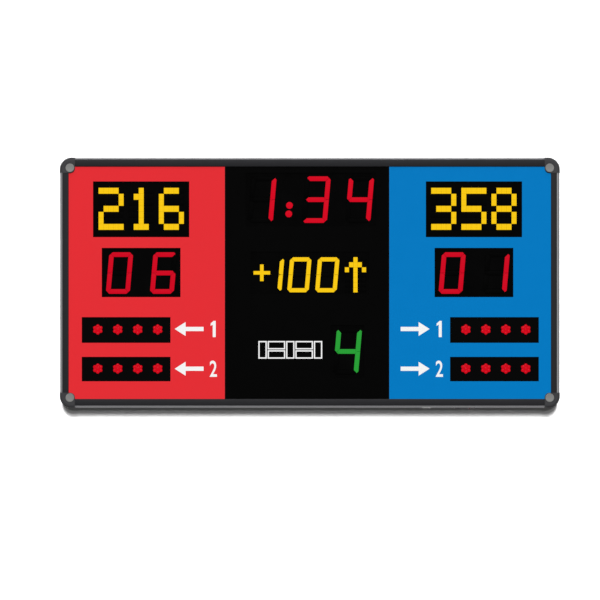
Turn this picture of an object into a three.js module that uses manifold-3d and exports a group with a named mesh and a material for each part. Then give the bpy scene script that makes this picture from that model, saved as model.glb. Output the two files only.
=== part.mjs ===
// Electronic scoreboard for combat sports: a wall-hung case 2 m wide and 1 m high.
//
// An extruded aluminium frame with moulded corner caps holds three printed front panels, red, black
// and blue. Behind their windows sit the displays: dot-matrix name fields, slanted seven-segment
// digits and clusters of penalty lamps. The rear panel carries two mounting rails and a hinged
// service door, and the mains inlet and the data socket are in the underside of the bottom rail.
//
// Units are millimetres. X runs to the viewer's right, Y away from the viewer and Z up. The model is
// drawn about the middle of the board on the wall plane, and the finished group is then moved so
// that its origin is the middle of the upper mounting rail, where the wall holds it.
//
// The form that takes the most skill is the display: segment outlines, lens plates whose bars stand
// in the apertures of a moulded mask, and dot-matrix lens blocks, all drawn from one digit rule.

import * as THREE from "three";
import { mergeVertices } from "three/addons/utils/BufferGeometryUtils.js";
import Module from "manifold-3d";

const wasm = await Module();
wasm.setup();

// Case
const boardWidth = 2000;
const boardHeight = 1000;
const caseDepth = 90;
const seatClearance = 0.3;
const overrun = 4;

// Frame rails, one extruded profile
const frameFace = 35;
const edgeRadius = 11;
const railWall = 2.5;
const frontLip = 3;
const slotDepth = 10;
const slotClearance = 0.35;
const slotFlange = 2;
const slotFlangeReach = 8;
const chamberDepth = 21;
const chamberWeb = 2;
const returnLip = 8;
const seatFlange = 2;
const seatReach = 18;
const railStart = 50;

// Corner caps and their plugs
const capArm = 60;
const capRadius = 47.5;
const capProud = 1.5;
const capFaceProud = 2.4;
const capRearWall = 2.5;
const bossRadius = 19.5;
const spigotLength = 25;
const plugRadius = 17.5;
const plugRecess = 1.2;
const plugProud = 1.2;
const plugChamfer = 1.4;

// Front panels
const panelThickness = 3;
const panelEdgeGap = 1;
const panelJoint = 0.4;
const redJointMargin = 83;
const blueJointMargin = 53;

// Windows in the front panels. The name and score windows are shifted from the middle of their
// panel, and the penalty windows keep a margin to its outer edge
const redWindowShiftX = -18;
const blueWindowShiftX = 11;
const nameWindowWidth = 385;
const nameWindowHeight = 223;
const scoreWindowWidth = 315;
const scoreWindowHeight = 197;
const redPenaltyMargin = 61.5;
const bluePenaltyMargin = 57.5;
const penaltyWindowWidth = 355;
const firstPenaltyHeight = 103;
const secondPenaltyHeight = 98;
const penaltyRowGap = 56;
const clockWindowX = 4;
const clockWindowWidth = 522;
const clockWindowHeight = 214;
const weightWindowWidth = 474;
const weightWindowHeight = 168;
const matJointMargin = 168;
const matWindowWidth = 134;
const matWindowHeight = 212;

// Gaps above, between and below the displays of a column, as shares of what they leave free
const sideGapShares = [0.261, 0.117, 0.305, 0.317];
const centreGapShares = [0.061, 0.293, 0.378, 0.268];

// Display housings: a mask plate with a rim, a lens plate behind it and a circuit board
const maskMargin = 10;
const maskThickness = 2;
const rimThickness = 2;
const rimDepth = 15;
const lensPlate = 1.5;
const boardThickness = 1.6;
const boardHeaderWidth = 26;
const boardHeaderHeight = 9;
const boardHeaderDepth = 4;
const apertureClearance = 0.3;

// Seven-segment digits
const digitSlant = 0.088;
const segmentGap = 0.8;
const cornerCutShare = 0.7;
const clockDigitHeight = 188;
const clockDigitWidth = 103;
const clockStroke = 20.5;
const colonDrop = 57;
const colonPitch = 34;
const colonRadius = 14.5;
const colonSides = 12;
const matDigitShiftX = 1;
const matDigitShiftZ = 1;
const scoreDigitHeight = 168;
const scoreDigitWidth = 97.5;
const scoreStroke = 20.5;
const scoreDigitsShiftZ = -2;
const weightDigitHeight = 142;
const weightDigitWidth = 88;
const weightStroke = 18.5;
const signSpan = 70;
const signStroke = 17.6;
const weightDigitsShiftZ = -8;

// Gaps before, between and after the figures of a window, as shares of what they leave free
const clockGapShares = [0.08, 0.22, 0.24, 0.385, 0.075];
const scoreGapShares = [0.183, 0.658, 0.159];
const weightGapShares = [0.08, 0.255, 0.17, 0.192, 0.21, 0.093];
const nameGapShares = [0.257, 0.243, 0.243, 0.257];

// Dot matrices, five columns by seven rows
const matrixColumns = 5;
const matrixRows = 7;
const namePitchX = 20.1;
const namePitchZ = 24.1;
const namePixelWidth = 19.3;
const namePixelHeight = 23.3;
const nameCharacters = 3;
const nameMatrixShiftZ = 2;
const unitPitchX = 17.1;
const unitPitchZ = 20.2;
const unitPixelWidth = 16.4;
const unitPixelHeight = 19.5;

// Penalty lamps
const lampCount = 4;
const lampPitch = 80;
const lampShiftX = 6;
const lampShiftZ = 2;
const lampRadius = 21;
const lampValleyRadius = 16.5;
const lampLobes = 6;
const lampHeight = 5;
const lampRimDepth = 9;

// Mullions behind the joints of the front panels
const mullionFlange = 30;
const mullionWall = 2;
const mullionRearFlange = 20;
const mullionEndGap = 0.5;
const cableHoleHeight = 44;
const cableHoleInset = 8;
const cableHoleZShares = [-0.4, 0.42];

// Rear panel
const rearRecess = 20.5;
const rearSheet = 1.5;
const rearEdgeGap = 1.5;
const rearCornerRadius = 42;
const ventLength = 70;
const ventHeight = 6;
const ventPitch = 17;
const ventRows = 4;
const ventX = 640;
const ventRailGap = 95;
const beadXShares = [-0.78, -0.56, 0.56, 0.78];
const beadWidth = 18;
const beadHeight = 2.5;
const beadLength = 400;

// Mounting rails, folded hat sections
const mountingInset = 120;
const hatTopWidth = 36;
const hatFlange = 15;
const hatSheet = 2;
const hatEndGap = 0.5;
const wallSlotLength = 30;
const wallSlotWidth = 9;
const wallSlotXShares = [-0.88, -0.42, 0.42, 0.88];

// Service door, hinged at its left edge as seen from the front
const doorWidth = 440;
const doorHeight = 300;
const doorSheet = 1.5;
const doorLap = 10;
const doorRibLength = 340;
const doorRibHeight = 14;
const doorRibDepth = 3.5;
const doorRibZ = 40;
const hingeAxisGap = 6;
const barrelRadius = 3.6;
const barrelLift = 0.5;
const hingeHeight = 220;
const knuckleCount = 5;
const knuckleGap = 0.6;
const knuckleBore = 2.2;
const hingePinRadius = 1.8;
const hingePinHead = 3.2;
const hingePinHeadHeight = 2;
const leafWidth = 24;
const leafSheet = 1.5;
const barrelSides = 10;

// Quarter-turn door locks
const lockInset = 30;
const lockZ = 90;
const lockHeadRadius = 12;
const lockHeadHeight = 3;
const lockShaftRadius = 7.5;
const lockClearance = 0.5;
const wingLength = 22;
const wingWidth = 5;
const wingHeight = 6;
const camReach = 36;
const camWidth = 13;
const camThickness = 2;
const camDepthGap = 1.4;
const lockSides = 12;

// Electronics tray and what it carries
const trayHeight = 300;
const trayFrontY = -60;
const traySheet = 1.5;
const trayFold = 16;
const standoffRadius = 4;
const standoffHeight = 10;
const standoffSides = 8;
const supplyX = -92;
const supplyZ = -2;
const supplyLength = 215;
const supplyHeight = 115;
const supplyDepth = 30;
const terminalLength = 18;
const terminalRecess = 14;
const terminalDepth = 10;
const terminalRib = 2;
const terminalCount = 7;
const controllerX = 125;
const controllerZ = -5;
const controllerWidth = 150;
const controllerHeight = 110;
const standoffInset = 8;
const ribbonX = 120;
const ribbonWidth = 32;
const ribbonThickness = 1.4;
const ribbonPlugHeight = 9;
const ribbonPlugDepth = 5;
const ribbonClockDrop = 71;
const ribbonBendShare = 0.28;
const ribbonTrayGap = 7;
const ribbonArcDrop = 28;

// Horn behind slots in the rear panel
const hornZ = -215;
const hornFlangeRadius = 46;
const hornFlange = 2.5;
const hornBodyRadius = 34;
const hornDepth = 26;
const hornMouthRadius = 29;
const hornThroatRadius = 9;
const hornThroatDepth = 18;
const hornSides = 18;
const hornSlotHeight = 5;
const hornSlotPitch = 10;
const hornSlots = 5;

// Mains inlet with fuse drawer and rocker, let into the bottom rail
const inletJointGap = 302;
const inletY = -44;
const inletFlangeWidth = 88;
const inletFlangeDepth = 32;
const inletFlangeThickness = 2.2;
const inletBodyWidth = 82;
const inletBodyDepth = 26.5;
const inletBodyHeight = 30;
const socketWidth = 24.5;
const socketDepth = 16.5;
const socketReach = 17;
const socketCut = 4;
const bladeWidth = 2;
const bladeDepth = 4;
const bladePitch = 7;
const bladeOffset = 2;
const bladeLength = 11.5;
const drawerX = -27.5;
const drawerWidth = 20;
const drawerDepth = 11;
const drawerReach = 24;
const drawerLip = 1.6;
const drawerLipLap = 1.4;
const drawerNotch = 5;
const rockerX = 27.5;
const rockerLength = 20;
const rockerDepth = 13;
const rockerPivotHeight = 5;
const rockerRadius = 8.4;
const rockerRise = 3.4;
const rockerTilt = 10;
const trunnionRadius = 1.8;
const trunnionLength = 1.3;
const rockerClearance = 0.4;
const rockerPocketDepth = 15;

// Data socket in the bottom rail
const dataPitch = 150;
const dataFlange = 32;
const dataFlangeThickness = 2.2;
const dataBodyRadius = 12;
const dataBodyHeight = 24;
const dataBoreRadius = 8.8;
const dataBoreDepth = 15;
const dataPinRadius = 1;
const dataPinCircle = 4.8;
const dataPinCount = 5;
const dataPinLength = 10;
const dataSides = 12;
const dataPinSides = 6;

// Mains harness from the inlet to the power supply
const harnessDiameter = 7;
const harnessSides = 8;
const harnessSteps = 28;

// Curve fineness
const arcSteps = 4;
const edgeSteps = 4;
const plugSides = 14;
const weldTolerance = 1e-4;

// Derived places, from the front of the case to the wall plane at Y = 0
const halfWidth = boardWidth / 2;
const halfHeight = boardHeight / 2;
const slotFrontY = frontLip - caseDepth;
const panelFrontY = slotFrontY + slotClearance;
const panelRearY = panelFrontY + panelThickness;
const slotRearY = panelRearY + slotClearance;
const slotFlangeRearY = slotRearY + slotFlange;
const slotFloor = frameFace - slotDepth;
const chamberRearY = slotFrontY + chamberDepth;
const chamberWebRearY = chamberRearY + chamberWeb;
const rearPanelRearY = -rearRecess;
const rearPanelFrontY = rearPanelRearY - rearSheet;
const seatRearY = rearPanelFrontY - seatClearance;
const seatFrontY = seatRearY - seatFlange;
const panelEdge = slotFloor + panelEdgeGap;
const maskFrontY = panelRearY + seatClearance;
const maskRearY = maskFrontY + maskThickness;
const lensFrontY = maskRearY + seatClearance;
const lensRearY = lensFrontY + lensPlate;
const rimRearY = maskRearY + rimDepth;
const underside = -halfHeight;
const mountingOffset = halfHeight - mountingInset;

// The joints of the front panels stand clear of the clock's window, and the places of the
// windows follow the panels
const panelOuterX = halfWidth - panelEdge;
const redJointX = clockWindowX - clockWindowWidth / 2 - redJointMargin;
const blueJointX = clockWindowX + clockWindowWidth / 2 + blueJointMargin;
const matWindowX = blueJointX - matJointMargin;
const redWindowX = (redJointX - panelOuterX) / 2 + redWindowShiftX;
const blueWindowX = (panelOuterX + blueJointX) / 2 + blueWindowShiftX;
const redPenaltyX = redPenaltyMargin + penaltyWindowWidth / 2 - panelOuterX;
const bluePenaltyX = panelOuterX - bluePenaltyMargin - penaltyWindowWidth / 2;
const penaltyHeight = firstPenaltyHeight + penaltyRowGap + secondPenaltyHeight;
const [nameWindowZ, scoreWindowZ, penaltyZ] = column(
  [nameWindowHeight, scoreWindowHeight, penaltyHeight],
  sideGapShares,
);
const firstPenaltyZ = penaltyZ + (penaltyHeight - firstPenaltyHeight) / 2;
const secondPenaltyZ = penaltyZ - (penaltyHeight - secondPenaltyHeight) / 2;
const [clockWindowZ, weightWindowZ, matWindowZ] = column(
  [clockWindowHeight, weightWindowHeight, matWindowHeight],
  centreGapShares,
);

// The horn and the two sockets stand to the right of the blue side's joint
const inletX = blueJointX + inletJointGap;
const dataX = inletX - dataPitch;
const hornX = dataX;

// Centres of a row of sizes from start to end, where gaps take what the sizes leave free
function spread(start, end, sizes, gapShares) {
  const way = Math.sign(end - start);
  const free = Math.abs(end - start) - sizes.reduce((sum, size) => sum + size, 0);
  let place = start;
  return sizes.map((size, i) => {
    const centre = place + way * (gapShares[i] * free + size / 2);
    place = centre + (way * size) / 2;
    return centre;
  });
}

// Centres of windows one below the other, with their masks between the flanges of the rails
function column(heights, gapShares) {
  const top = halfHeight - slotFloor - slotFlangeReach;
  return spread(top, -top, heights.map((height) => height + 2 * maskMargin), gapShares);
}

const material = (color, roughness, metalness = 0) =>
  new THREE.MeshStandardMaterial({ color, roughness, metalness });

const finishes = {
  rail: material(0x2b2b2e, 0.45, 0.6),
  cap: material(0x3a3a3c, 0.6),
  plug: material(0x8a8a8a, 0.5),
  red: material(0xe43238, 0.4),
  black: material(0x0a0a0a, 0.4),
  blue: material(0x007ac0, 0.4),
  mask: material(0x111111, 0.7),
  redLens: material(0xd8102c, 0.3),
  yellowLens: material(0xf8c814, 0.3),
  greenLens: material(0x2e9f3f, 0.3),
  board: material(0x1d5a34, 0.5),
  blackBoard: material(0x151515, 0.5),
  sheet: material(0x2e3033, 0.55, 0.3),
  zinc: material(0xb4b7ba, 0.4, 0.8),
  steel: material(0xc8cacc, 0.3, 0.9),
  moulding: material(0x1c1c1e, 0.5),
  cable: material(0x202022, 0.6),
  ribbon: material(0x9a9ea6, 0.6),
};

const scoreboard = new THREE.Group();

// Solids

function solidOf(geometry) {
  const bare = new THREE.BufferGeometry();
  bare.setAttribute("position", geometry.getAttribute("position"));
  if (geometry.index) bare.setIndex(geometry.index);
  const welded = mergeVertices(bare, weldTolerance);
  return new wasm.Manifold(
    new wasm.Mesh({
      numProp: 3,
      vertProperties: welded.attributes.position.array,
      triVerts: new Uint32Array(welded.index.array),
    }),
  );
}

function geometryOf(solid) {
  const mesh = solid.getMesh();
  const geometry = new THREE.BufferGeometry();
  geometry.setAttribute("position", new THREE.BufferAttribute(mesh.vertProperties, 3));
  geometry.setIndex(new THREE.BufferAttribute(mesh.triVerts, 1));
  const flat = geometry.toNonIndexed();
  flat.computeVertexNormals();
  return flat;
}

function add(name, solid, finish) {
  const mesh = new THREE.Mesh(geometryOf(solid), finish);
  mesh.name = name;
  scoreboard.add(mesh);
}

const join = (...solids) => solids.reduce((all, next) => all.add(next));
const cut = (body, ...tools) => tools.reduce((rest, tool) => rest.subtract(tool), body);

const extruded = (outline, depth) =>
  new THREE.ExtrudeGeometry(new THREE.Shape(outline.map(([x, y]) => new THREE.Vector2(x, y))), {
    depth,
    bevelEnabled: false,
  });

// An outline of (x, z) points, between two depths
function plate(outline, frontY, rearY, holes = []) {
  const geometry = extruded(outline, rearY - frontY).rotateX(Math.PI / 2).translate(0, rearY, 0);
  const tools = holes.map((hole) => plate(hole, frontY - overrun, rearY + overrun));
  return cut(solidOf(geometry), ...tools);
}

// An outline of (x, y) points, between two heights
function post(outline, bottomZ, topZ, holes = []) {
  const geometry = extruded(outline, topZ - bottomZ).translate(0, 0, bottomZ);
  const tools = holes.map((hole) => post(hole, bottomZ - overrun, topZ + overrun));
  return cut(solidOf(geometry), ...tools);
}

// An outline of (y, z) points, between two places along X
function bar(outline, leftX, rightX, holes = []) {
  const turned = new THREE.Matrix4().makeBasis(
    new THREE.Vector3(0, 1, 0),
    new THREE.Vector3(0, 0, 1),
    new THREE.Vector3(1, 0, 0),
  );
  const geometry = extruded(outline, rightX - leftX).applyMatrix4(turned).translate(leftX, 0, 0);
  const tools = holes.map((hole) => bar(hole, leftX - overrun, rightX + overrun));
  return cut(solidOf(geometry), ...tools);
}

const block = (leftX, rightX, frontY, rearY, bottomZ, topZ) =>
  solidOf(
    new THREE.BoxGeometry(rightX - leftX, rearY - frontY, topZ - bottomZ).translate(
      (leftX + rightX) / 2,
      (frontY + rearY) / 2,
      (bottomZ + topZ) / 2,
    ),
  );

const roundAlongY = (radius, x, z, frontY, rearY, sides) =>
  solidOf(
    new THREE.CylinderGeometry(radius, radius, rearY - frontY, sides).translate(
      x,
      (frontY + rearY) / 2,
      z,
    ),
  );

const roundAlongZ = (radius, x, y, bottomZ, topZ, sides) =>
  solidOf(
    new THREE.CylinderGeometry(radius, radius, topZ - bottomZ, sides)
      .rotateX(Math.PI / 2)
      .translate(x, y, (bottomZ + topZ) / 2),
  );

// Outlines

const rectangle = (x, y, width, height) => [
  [x - width / 2, y - height / 2],
  [x + width / 2, y - height / 2],
  [x + width / 2, y + height / 2],
  [x - width / 2, y + height / 2],
];

function arc(x, y, radius, fromDegrees, toDegrees, steps) {
  return Array.from({ length: steps + 1 }, (_, i) => {
    const angle = THREE.MathUtils.degToRad(fromDegrees + ((toDegrees - fromDegrees) * i) / steps);
    return [x + radius * Math.cos(angle), y + radius * Math.sin(angle)];
  });
}

const obround = (x, y, length, width) => [
  ...arc(x + (length - width) / 2, y, width / 2, -90, 90, edgeSteps),
  ...arc(x - (length - width) / 2, y, width / 2, 90, 270, edgeSteps),
];

const polygon = (x, y, radius, sides) => arc(x, y, radius, 0, 360, sides).slice(0, sides);

// A convex outline grown on every side
function grown(outline, distance) {
  const points = outline.map(([x, y]) => new THREE.Vector2(x, y));
  const turn = THREE.ShapeUtils.area(points) > 0 ? 1 : -1;
  const edges = points.map((point, i) => {
    const along = points[(i + 1) % points.length].clone().sub(point).normalize();
    const outward = new THREE.Vector2(along.y, -along.x).multiplyScalar(turn * distance);
    return { start: point.clone().add(outward), along };
  });
  return edges.map((edge, i) => {
    const before = edges[(i + edges.length - 1) % edges.length];
    const reach = edge.start.clone().sub(before.start).cross(edge.along) / before.along.cross(edge.along);
    const corner = before.start.clone().addScaledVector(before.along, reach);
    return [corner.x, corner.y];
  });
}

// Frame

// The rail's section as (distance in from the outer edge, depth)
const railSection = [
  [frameFace, -caseDepth],
  ...arc(edgeRadius, edgeRadius - caseDepth, edgeRadius, -90, -180, edgeSteps),
  [0, 0],
  [returnLip, 0],
  [returnLip, -railWall],
  [railWall, -railWall],
  [railWall, seatRearY],
  [seatReach, seatRearY],
  [seatReach, seatFrontY],
  [railWall, seatFrontY],
  [railWall, chamberWebRearY],
  [slotFloor, chamberWebRearY],
  [slotFloor, slotFlangeRearY],
  [slotFloor + slotFlangeReach, slotFlangeRearY],
  [slotFloor + slotFlangeReach, slotRearY],
  [slotFloor, slotRearY],
  [slotFloor, slotFrontY],
  [frameFace, slotFrontY],
];

const railChamber = [
  [slotFloor - railWall, slotFrontY],
  ...arc(edgeRadius, edgeRadius - caseDepth, edgeRadius - frontLip, -90, -180, edgeSteps),
  [frontLip, chamberRearY],
  [slotFloor - railWall, chamberRearY],
];

function horizontalRail(side) {
  const turned = (points) => points.map(([inward, depth]) => [depth, side * (halfHeight - inward)]);
  const end = halfWidth - railStart;
  return bar(turned(railSection), -end, end, [turned(railChamber)]);
}

function verticalRail(side) {
  const turned = (points) => points.map(([inward, depth]) => [side * (halfWidth - inward), depth]);
  const end = halfHeight - railStart;
  return post(turned(railSection), -end, end, [turned(railChamber)]);
}

// Corner caps are drawn as (distance in from the side, distance in from the top or bottom)

function capEdge(inset) {
  const centre = capRadius - capProud;
  return [
    [capArm, inset - capProud],
    ...arc(centre, centre, capRadius - inset, -90, -180, arcSteps),
    [inset - capProud, capArm],
  ];
}

const capCentre = capArm - bossRadius;
const capFrontY = -caseDepth - capFaceProud;

function cornerCap(sideX, sideZ) {
  const placed = (points) =>
    points.map(([p, q]) => [sideX * (halfWidth - p), sideZ * (halfHeight - q)]);
  const bossRearY = slotFrontY - seatClearance;
  const face = [
    ...capEdge(0),
    ...arc(capCentre, capCentre, bossRadius, 90, 0, arcSteps),
  ];
  const ring = [...capEdge(0), [slotFloor, capArm], [slotFloor, slotFloor], [capArm, slotFloor]];
  const shell = [...capEdge(0), ...capEdge(capProud + capRearWall).reverse()];
  const body = join(
    plate(placed(face), capFrontY, bossRearY),
    plate(placed(ring), capFrontY, chamberWebRearY),
    plate(placed(shell), chamberWebRearY - overrun, 0),
  );
  const mouthStart = railStart - seatClearance;
  const mouthEnd = frameFace + seatClearance;
  const mouths = [
    [
      [mouthStart, -seatClearance],
      [capArm + overrun, -seatClearance],
      [capArm + overrun, mouthEnd],
      [mouthStart, mouthEnd],
    ],
    [
      [-seatClearance, mouthStart],
      [mouthEnd, mouthStart],
      [mouthEnd, capArm + overrun],
      [-seatClearance, capArm + overrun],
    ],
  ];
  const recess = roundAlongY(
    plugRadius + seatClearance,
    sideX * (halfWidth - capCentre),
    sideZ * (halfHeight - capCentre),
    capFrontY - overrun,
    capFrontY + plugRecess,
    plugSides,
  );
  const wrapped = mouths.map((mouth) =>
    plate(placed(mouth), -caseDepth - seatClearance, overrun),
  );
  return join(cut(body, recess, ...wrapped), ...capSpigots(sideX, sideZ));
}

// Two spigots that slide into the chambers of the rails
function capSpigots(sideX, sideZ) {
  const section = grown(railChamber, -seatClearance);
  const start = halfWidth - railStart + overrun;
  const end = halfWidth - railStart - spigotLength;
  const top = halfHeight - railStart + overrun;
  const bottom = halfHeight - railStart - spigotLength;
  return [
    bar(
      section.map(([inward, depth]) => [depth, sideZ * (halfHeight - inward)]),
      Math.min(sideX * start, sideX * end),
      Math.max(sideX * start, sideX * end),
    ),
    post(
      section.map(([inward, depth]) => [sideX * (halfWidth - inward), depth]),
      Math.min(sideZ * top, sideZ * bottom),
      Math.max(sideZ * top, sideZ * bottom),
    ),
  ];
}

function cornerPlug(sideX, sideZ) {
  const frontY = capFrontY - plugProud;
  const rearY = capFrontY + plugRecess - seatClearance;
  const profile = [
    [0, frontY],
    [plugRadius - plugChamfer, frontY],
    [plugRadius, frontY + plugChamfer],
    [plugRadius, rearY],
    [0, rearY],
  ].map(([radius, depth]) => new THREE.Vector2(radius, depth));
  return solidOf(
    new THREE.LatheGeometry(profile, plugSides).translate(
      sideX * (halfWidth - capCentre),
      0,
      sideZ * (halfHeight - capCentre),
    ),
  );
}

function buildFrame() {
  add("top_rail", horizontalRail(1), finishes.rail);
  add("bottom_rail", cut(horizontalRail(-1), ...undersideCutouts()), finishes.rail);
  add("left_rail", verticalRail(-1), finishes.rail);
  add("right_rail", verticalRail(1), finishes.rail);
  for (const [vertical, sideZ] of [["top", 1], ["bottom", -1]]) {
    for (const [horizontal, sideX] of [["left", -1], ["right", 1]]) {
      add(`${vertical}_${horizontal}_corner_cap`, cornerCap(sideX, sideZ), finishes.cap);
      add(`${vertical}_${horizontal}_corner_plug`, cornerPlug(sideX, sideZ), finishes.plug);
    }
  }
}

// Front panels with their windows

const windows = {
  redName: rectangle(redWindowX, nameWindowZ, nameWindowWidth, nameWindowHeight),
  redScore: rectangle(redWindowX, scoreWindowZ, scoreWindowWidth, scoreWindowHeight),
  redFirst: rectangle(redPenaltyX, firstPenaltyZ, penaltyWindowWidth, firstPenaltyHeight),
  redSecond: rectangle(redPenaltyX, secondPenaltyZ, penaltyWindowWidth, secondPenaltyHeight),
  blueName: rectangle(blueWindowX, nameWindowZ, nameWindowWidth, nameWindowHeight),
  blueScore: rectangle(blueWindowX, scoreWindowZ, scoreWindowWidth, scoreWindowHeight),
  blueFirst: rectangle(bluePenaltyX, firstPenaltyZ, penaltyWindowWidth, firstPenaltyHeight),
  blueSecond: rectangle(bluePenaltyX, secondPenaltyZ, penaltyWindowWidth, secondPenaltyHeight),
  clock: rectangle(clockWindowX, clockWindowZ, clockWindowWidth, clockWindowHeight),
  weight: rectangle(0, weightWindowZ, weightWindowWidth, weightWindowHeight),
  mat: rectangle(matWindowX, matWindowZ, matWindowWidth, matWindowHeight),
};

function frontPanel(leftX, rightX, openings) {
  const height = 2 * (halfHeight - panelEdge);
  const outline = rectangle((leftX + rightX) / 2, 0, rightX - leftX, height);
  return plate(outline, panelFrontY, panelRearY, openings);
}

function buildFrontPanels() {
  const half = panelJoint / 2;
  const { redName, redScore, redFirst, redSecond } = windows;
  const { blueName, blueScore, blueFirst, blueSecond } = windows;
  add(
    "red_front_panel",
    frontPanel(-panelOuterX, redJointX - half, [redName, redScore, redFirst, redSecond]),
    finishes.red,
  );
  add(
    "centre_front_panel",
    frontPanel(redJointX + half, blueJointX - half, [windows.clock, windows.weight, windows.mat]),
    finishes.black,
  );
  add(
    "blue_front_panel",
    frontPanel(blueJointX + half, panelOuterX, [blueName, blueScore, blueFirst, blueSecond]),
    finishes.blue,
  );
}

// Display outlines, all as (x, z) points

// The seven bars of a digit, in the order top, upper right, lower right, bottom, lower left,
// upper left, middle
function digitBars(x, z, width, height, stroke) {
  const right = width / 2;
  const top = height / 2;
  const corner = cornerCutShare * stroke;
  const gap = segmentGap;
  const topBar = [
    [corner - right, top],
    [right - corner, top],
    [right - corner / 2 - gap, top - corner / 2],
    [right - stroke - gap, top - stroke],
    [stroke + gap - right, top - stroke],
    [corner / 2 + gap - right, top - corner / 2],
  ];
  const upperRight = [
    [right, top - corner],
    [right - corner / 2, top - corner / 2 - gap],
    [right - stroke, top - stroke - gap],
    [right - stroke, stroke / 2 + gap],
    [right - stroke / 2, gap],
    [right, gap],
  ];
  const middle = [
    [stroke / 2 + gap - right, 0],
    [stroke + gap - right, stroke / 2],
    [right - stroke - gap, stroke / 2],
    [right - stroke / 2 - gap, 0],
    [right - stroke - gap, -stroke / 2],
    [stroke + gap - right, -stroke / 2],
  ];
  const mirrored = (points, alongX, alongZ) => points.map(([px, pz]) => [alongX * px, alongZ * pz]);
  return [
    topBar,
    upperRight,
    mirrored(upperRight, 1, -1),
    mirrored(topBar, 1, -1),
    mirrored(upperRight, -1, -1),
    mirrored(upperRight, -1, 1),
    middle,
  ].map((points) => points.map(([px, pz]) => [x + px + digitSlant * pz, z + pz]));
}

const matrixWidth = (pitch, pixel) => (matrixColumns - 1) * pitch + pixel;
const matrixHeight = (pitch, pixel) => (matrixRows - 1) * pitch + pixel;

const matrixOutline = (x, z, pitchX, pitchZ, pixelWidth, pixelHeight) =>
  rectangle(x, z, matrixWidth(pitchX, pixelWidth), matrixHeight(pitchZ, pixelHeight));

// The lens block of one character: V grooves between its columns and rows leave the pixels
function matrixLens(x, z, pitchX, pitchZ, pixelWidth, pixelHeight) {
  const outline = matrixOutline(x, z, pitchX, pitchZ, pixelWidth, pixelHeight);
  const [[leftX, bottomZ], , [rightX, topZ]] = outline;
  const apexY = lensFrontY - seatClearance;
  const spreadShare = (apexY - maskFrontY + overrun) / (apexY - maskFrontY);
  const groove = (pitch, pixel, centre) => {
    const half = (spreadShare * (pitch - pixel)) / 2;
    return [
      [centre - half, maskFrontY - overrun],
      [centre + half, maskFrontY - overrun],
      [centre, apexY],
    ];
  };
  const betweenColumns = Array.from({ length: matrixColumns - 1 }, (_, i) => {
    const centre = x + (i - (matrixColumns - 2) / 2) * pitchX;
    return post(groove(pitchX, pixelWidth, centre), bottomZ - overrun, topZ + overrun);
  });
  const betweenRows = Array.from({ length: matrixRows - 1 }, (_, i) => {
    const centre = z + (i - (matrixRows - 2) / 2) * pitchZ;
    const outlineYZ = groove(pitchZ, pixelHeight, centre).map(([pz, py]) => [py, pz]);
    return bar(outlineYZ, leftX - overrun, rightX + overrun);
  });
  return cut(raisedLens(outline), ...betweenColumns, ...betweenRows);
}

const raisedLens = (outline) => plate(outline, maskFrontY, lensRearY - lensPlate / 2);

const plusSign = (x, z, span, stroke) => [
  rectangle(x, z, span, stroke),
  rectangle(x, z, stroke, span),
];

// A display stands behind its window: a mask with a rim, a lens plate and a circuit board.
// Bars are lens outlines with an aperture each. Frames are apertures for the other lenses.
function addDisplay(name, windowOutline, bars, frames, lenses, lensFinish) {
  const outside = grown(windowOutline, maskMargin);
  const inside = grown(outside, -rimThickness);
  const seat = grown(inside, -seatClearance);
  const apertures = [...bars, ...frames].map((outline) =>
    plate(grown(outline, apertureClearance), maskFrontY - overrun, maskRearY + overrun / 2),
  );
  const mask = cut(plate(outside, maskFrontY, maskRearY), ...apertures);
  const rim = plate(outside, maskRearY - maskThickness / 2, rimRearY, [inside]);
  add(`${name}_mask`, join(mask, rim), finishes.mask);
  const plateBehind = plate(seat, lensFrontY, lensRearY);
  add(`${name}_lenses`, join(plateBehind, ...bars.map(raisedLens), ...lenses), lensFinish);
  add(`${name}_board`, circuitBoard(seat, rimRearY), finishes.board);
}

function circuitBoard(outline, rearY) {
  const [[leftX, bottomZ], , [rightX, topZ]] = outline;
  const middleX = (leftX + rightX) / 2;
  const middleZ = (bottomZ + topZ) / 2;
  const header = block(
    middleX - boardHeaderWidth / 2,
    middleX + boardHeaderWidth / 2,
    rearY - boardThickness / 2,
    rearY + boardHeaderDepth,
    middleZ - boardHeaderHeight / 2,
    middleZ + boardHeaderHeight / 2,
  );
  return join(plate(outline, rearY - boardThickness, rearY), header);
}

function addNameDisplay(name, centreX, windowOutline) {
  const z = nameWindowZ + nameMatrixShiftZ;
  const centres = spread(
    centreX - nameWindowWidth / 2,
    centreX + nameWindowWidth / 2,
    Array(nameCharacters).fill(matrixWidth(namePitchX, namePixelWidth)),
    nameGapShares,
  );
  const sizes = [namePitchX, namePitchZ, namePixelWidth, namePixelHeight];
  addDisplay(
    name,
    windowOutline,
    [],
    centres.map((x) => matrixOutline(x, z, ...sizes)),
    centres.map((x) => matrixLens(x, z, ...sizes)),
    finishes.yellowLens,
  );
}

function addScoreDisplay(name, centreX, windowOutline) {
  const centres = spread(
    centreX - scoreWindowWidth / 2,
    centreX + scoreWindowWidth / 2,
    [scoreDigitWidth, scoreDigitWidth],
    scoreGapShares,
  );
  const z = scoreWindowZ + scoreDigitsShiftZ;
  const bars = centres.flatMap((x) =>
    digitBars(x, z, scoreDigitWidth, scoreDigitHeight, scoreStroke),
  );
  addDisplay(name, windowOutline, bars, [], [], finishes.redLens);
}

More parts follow.
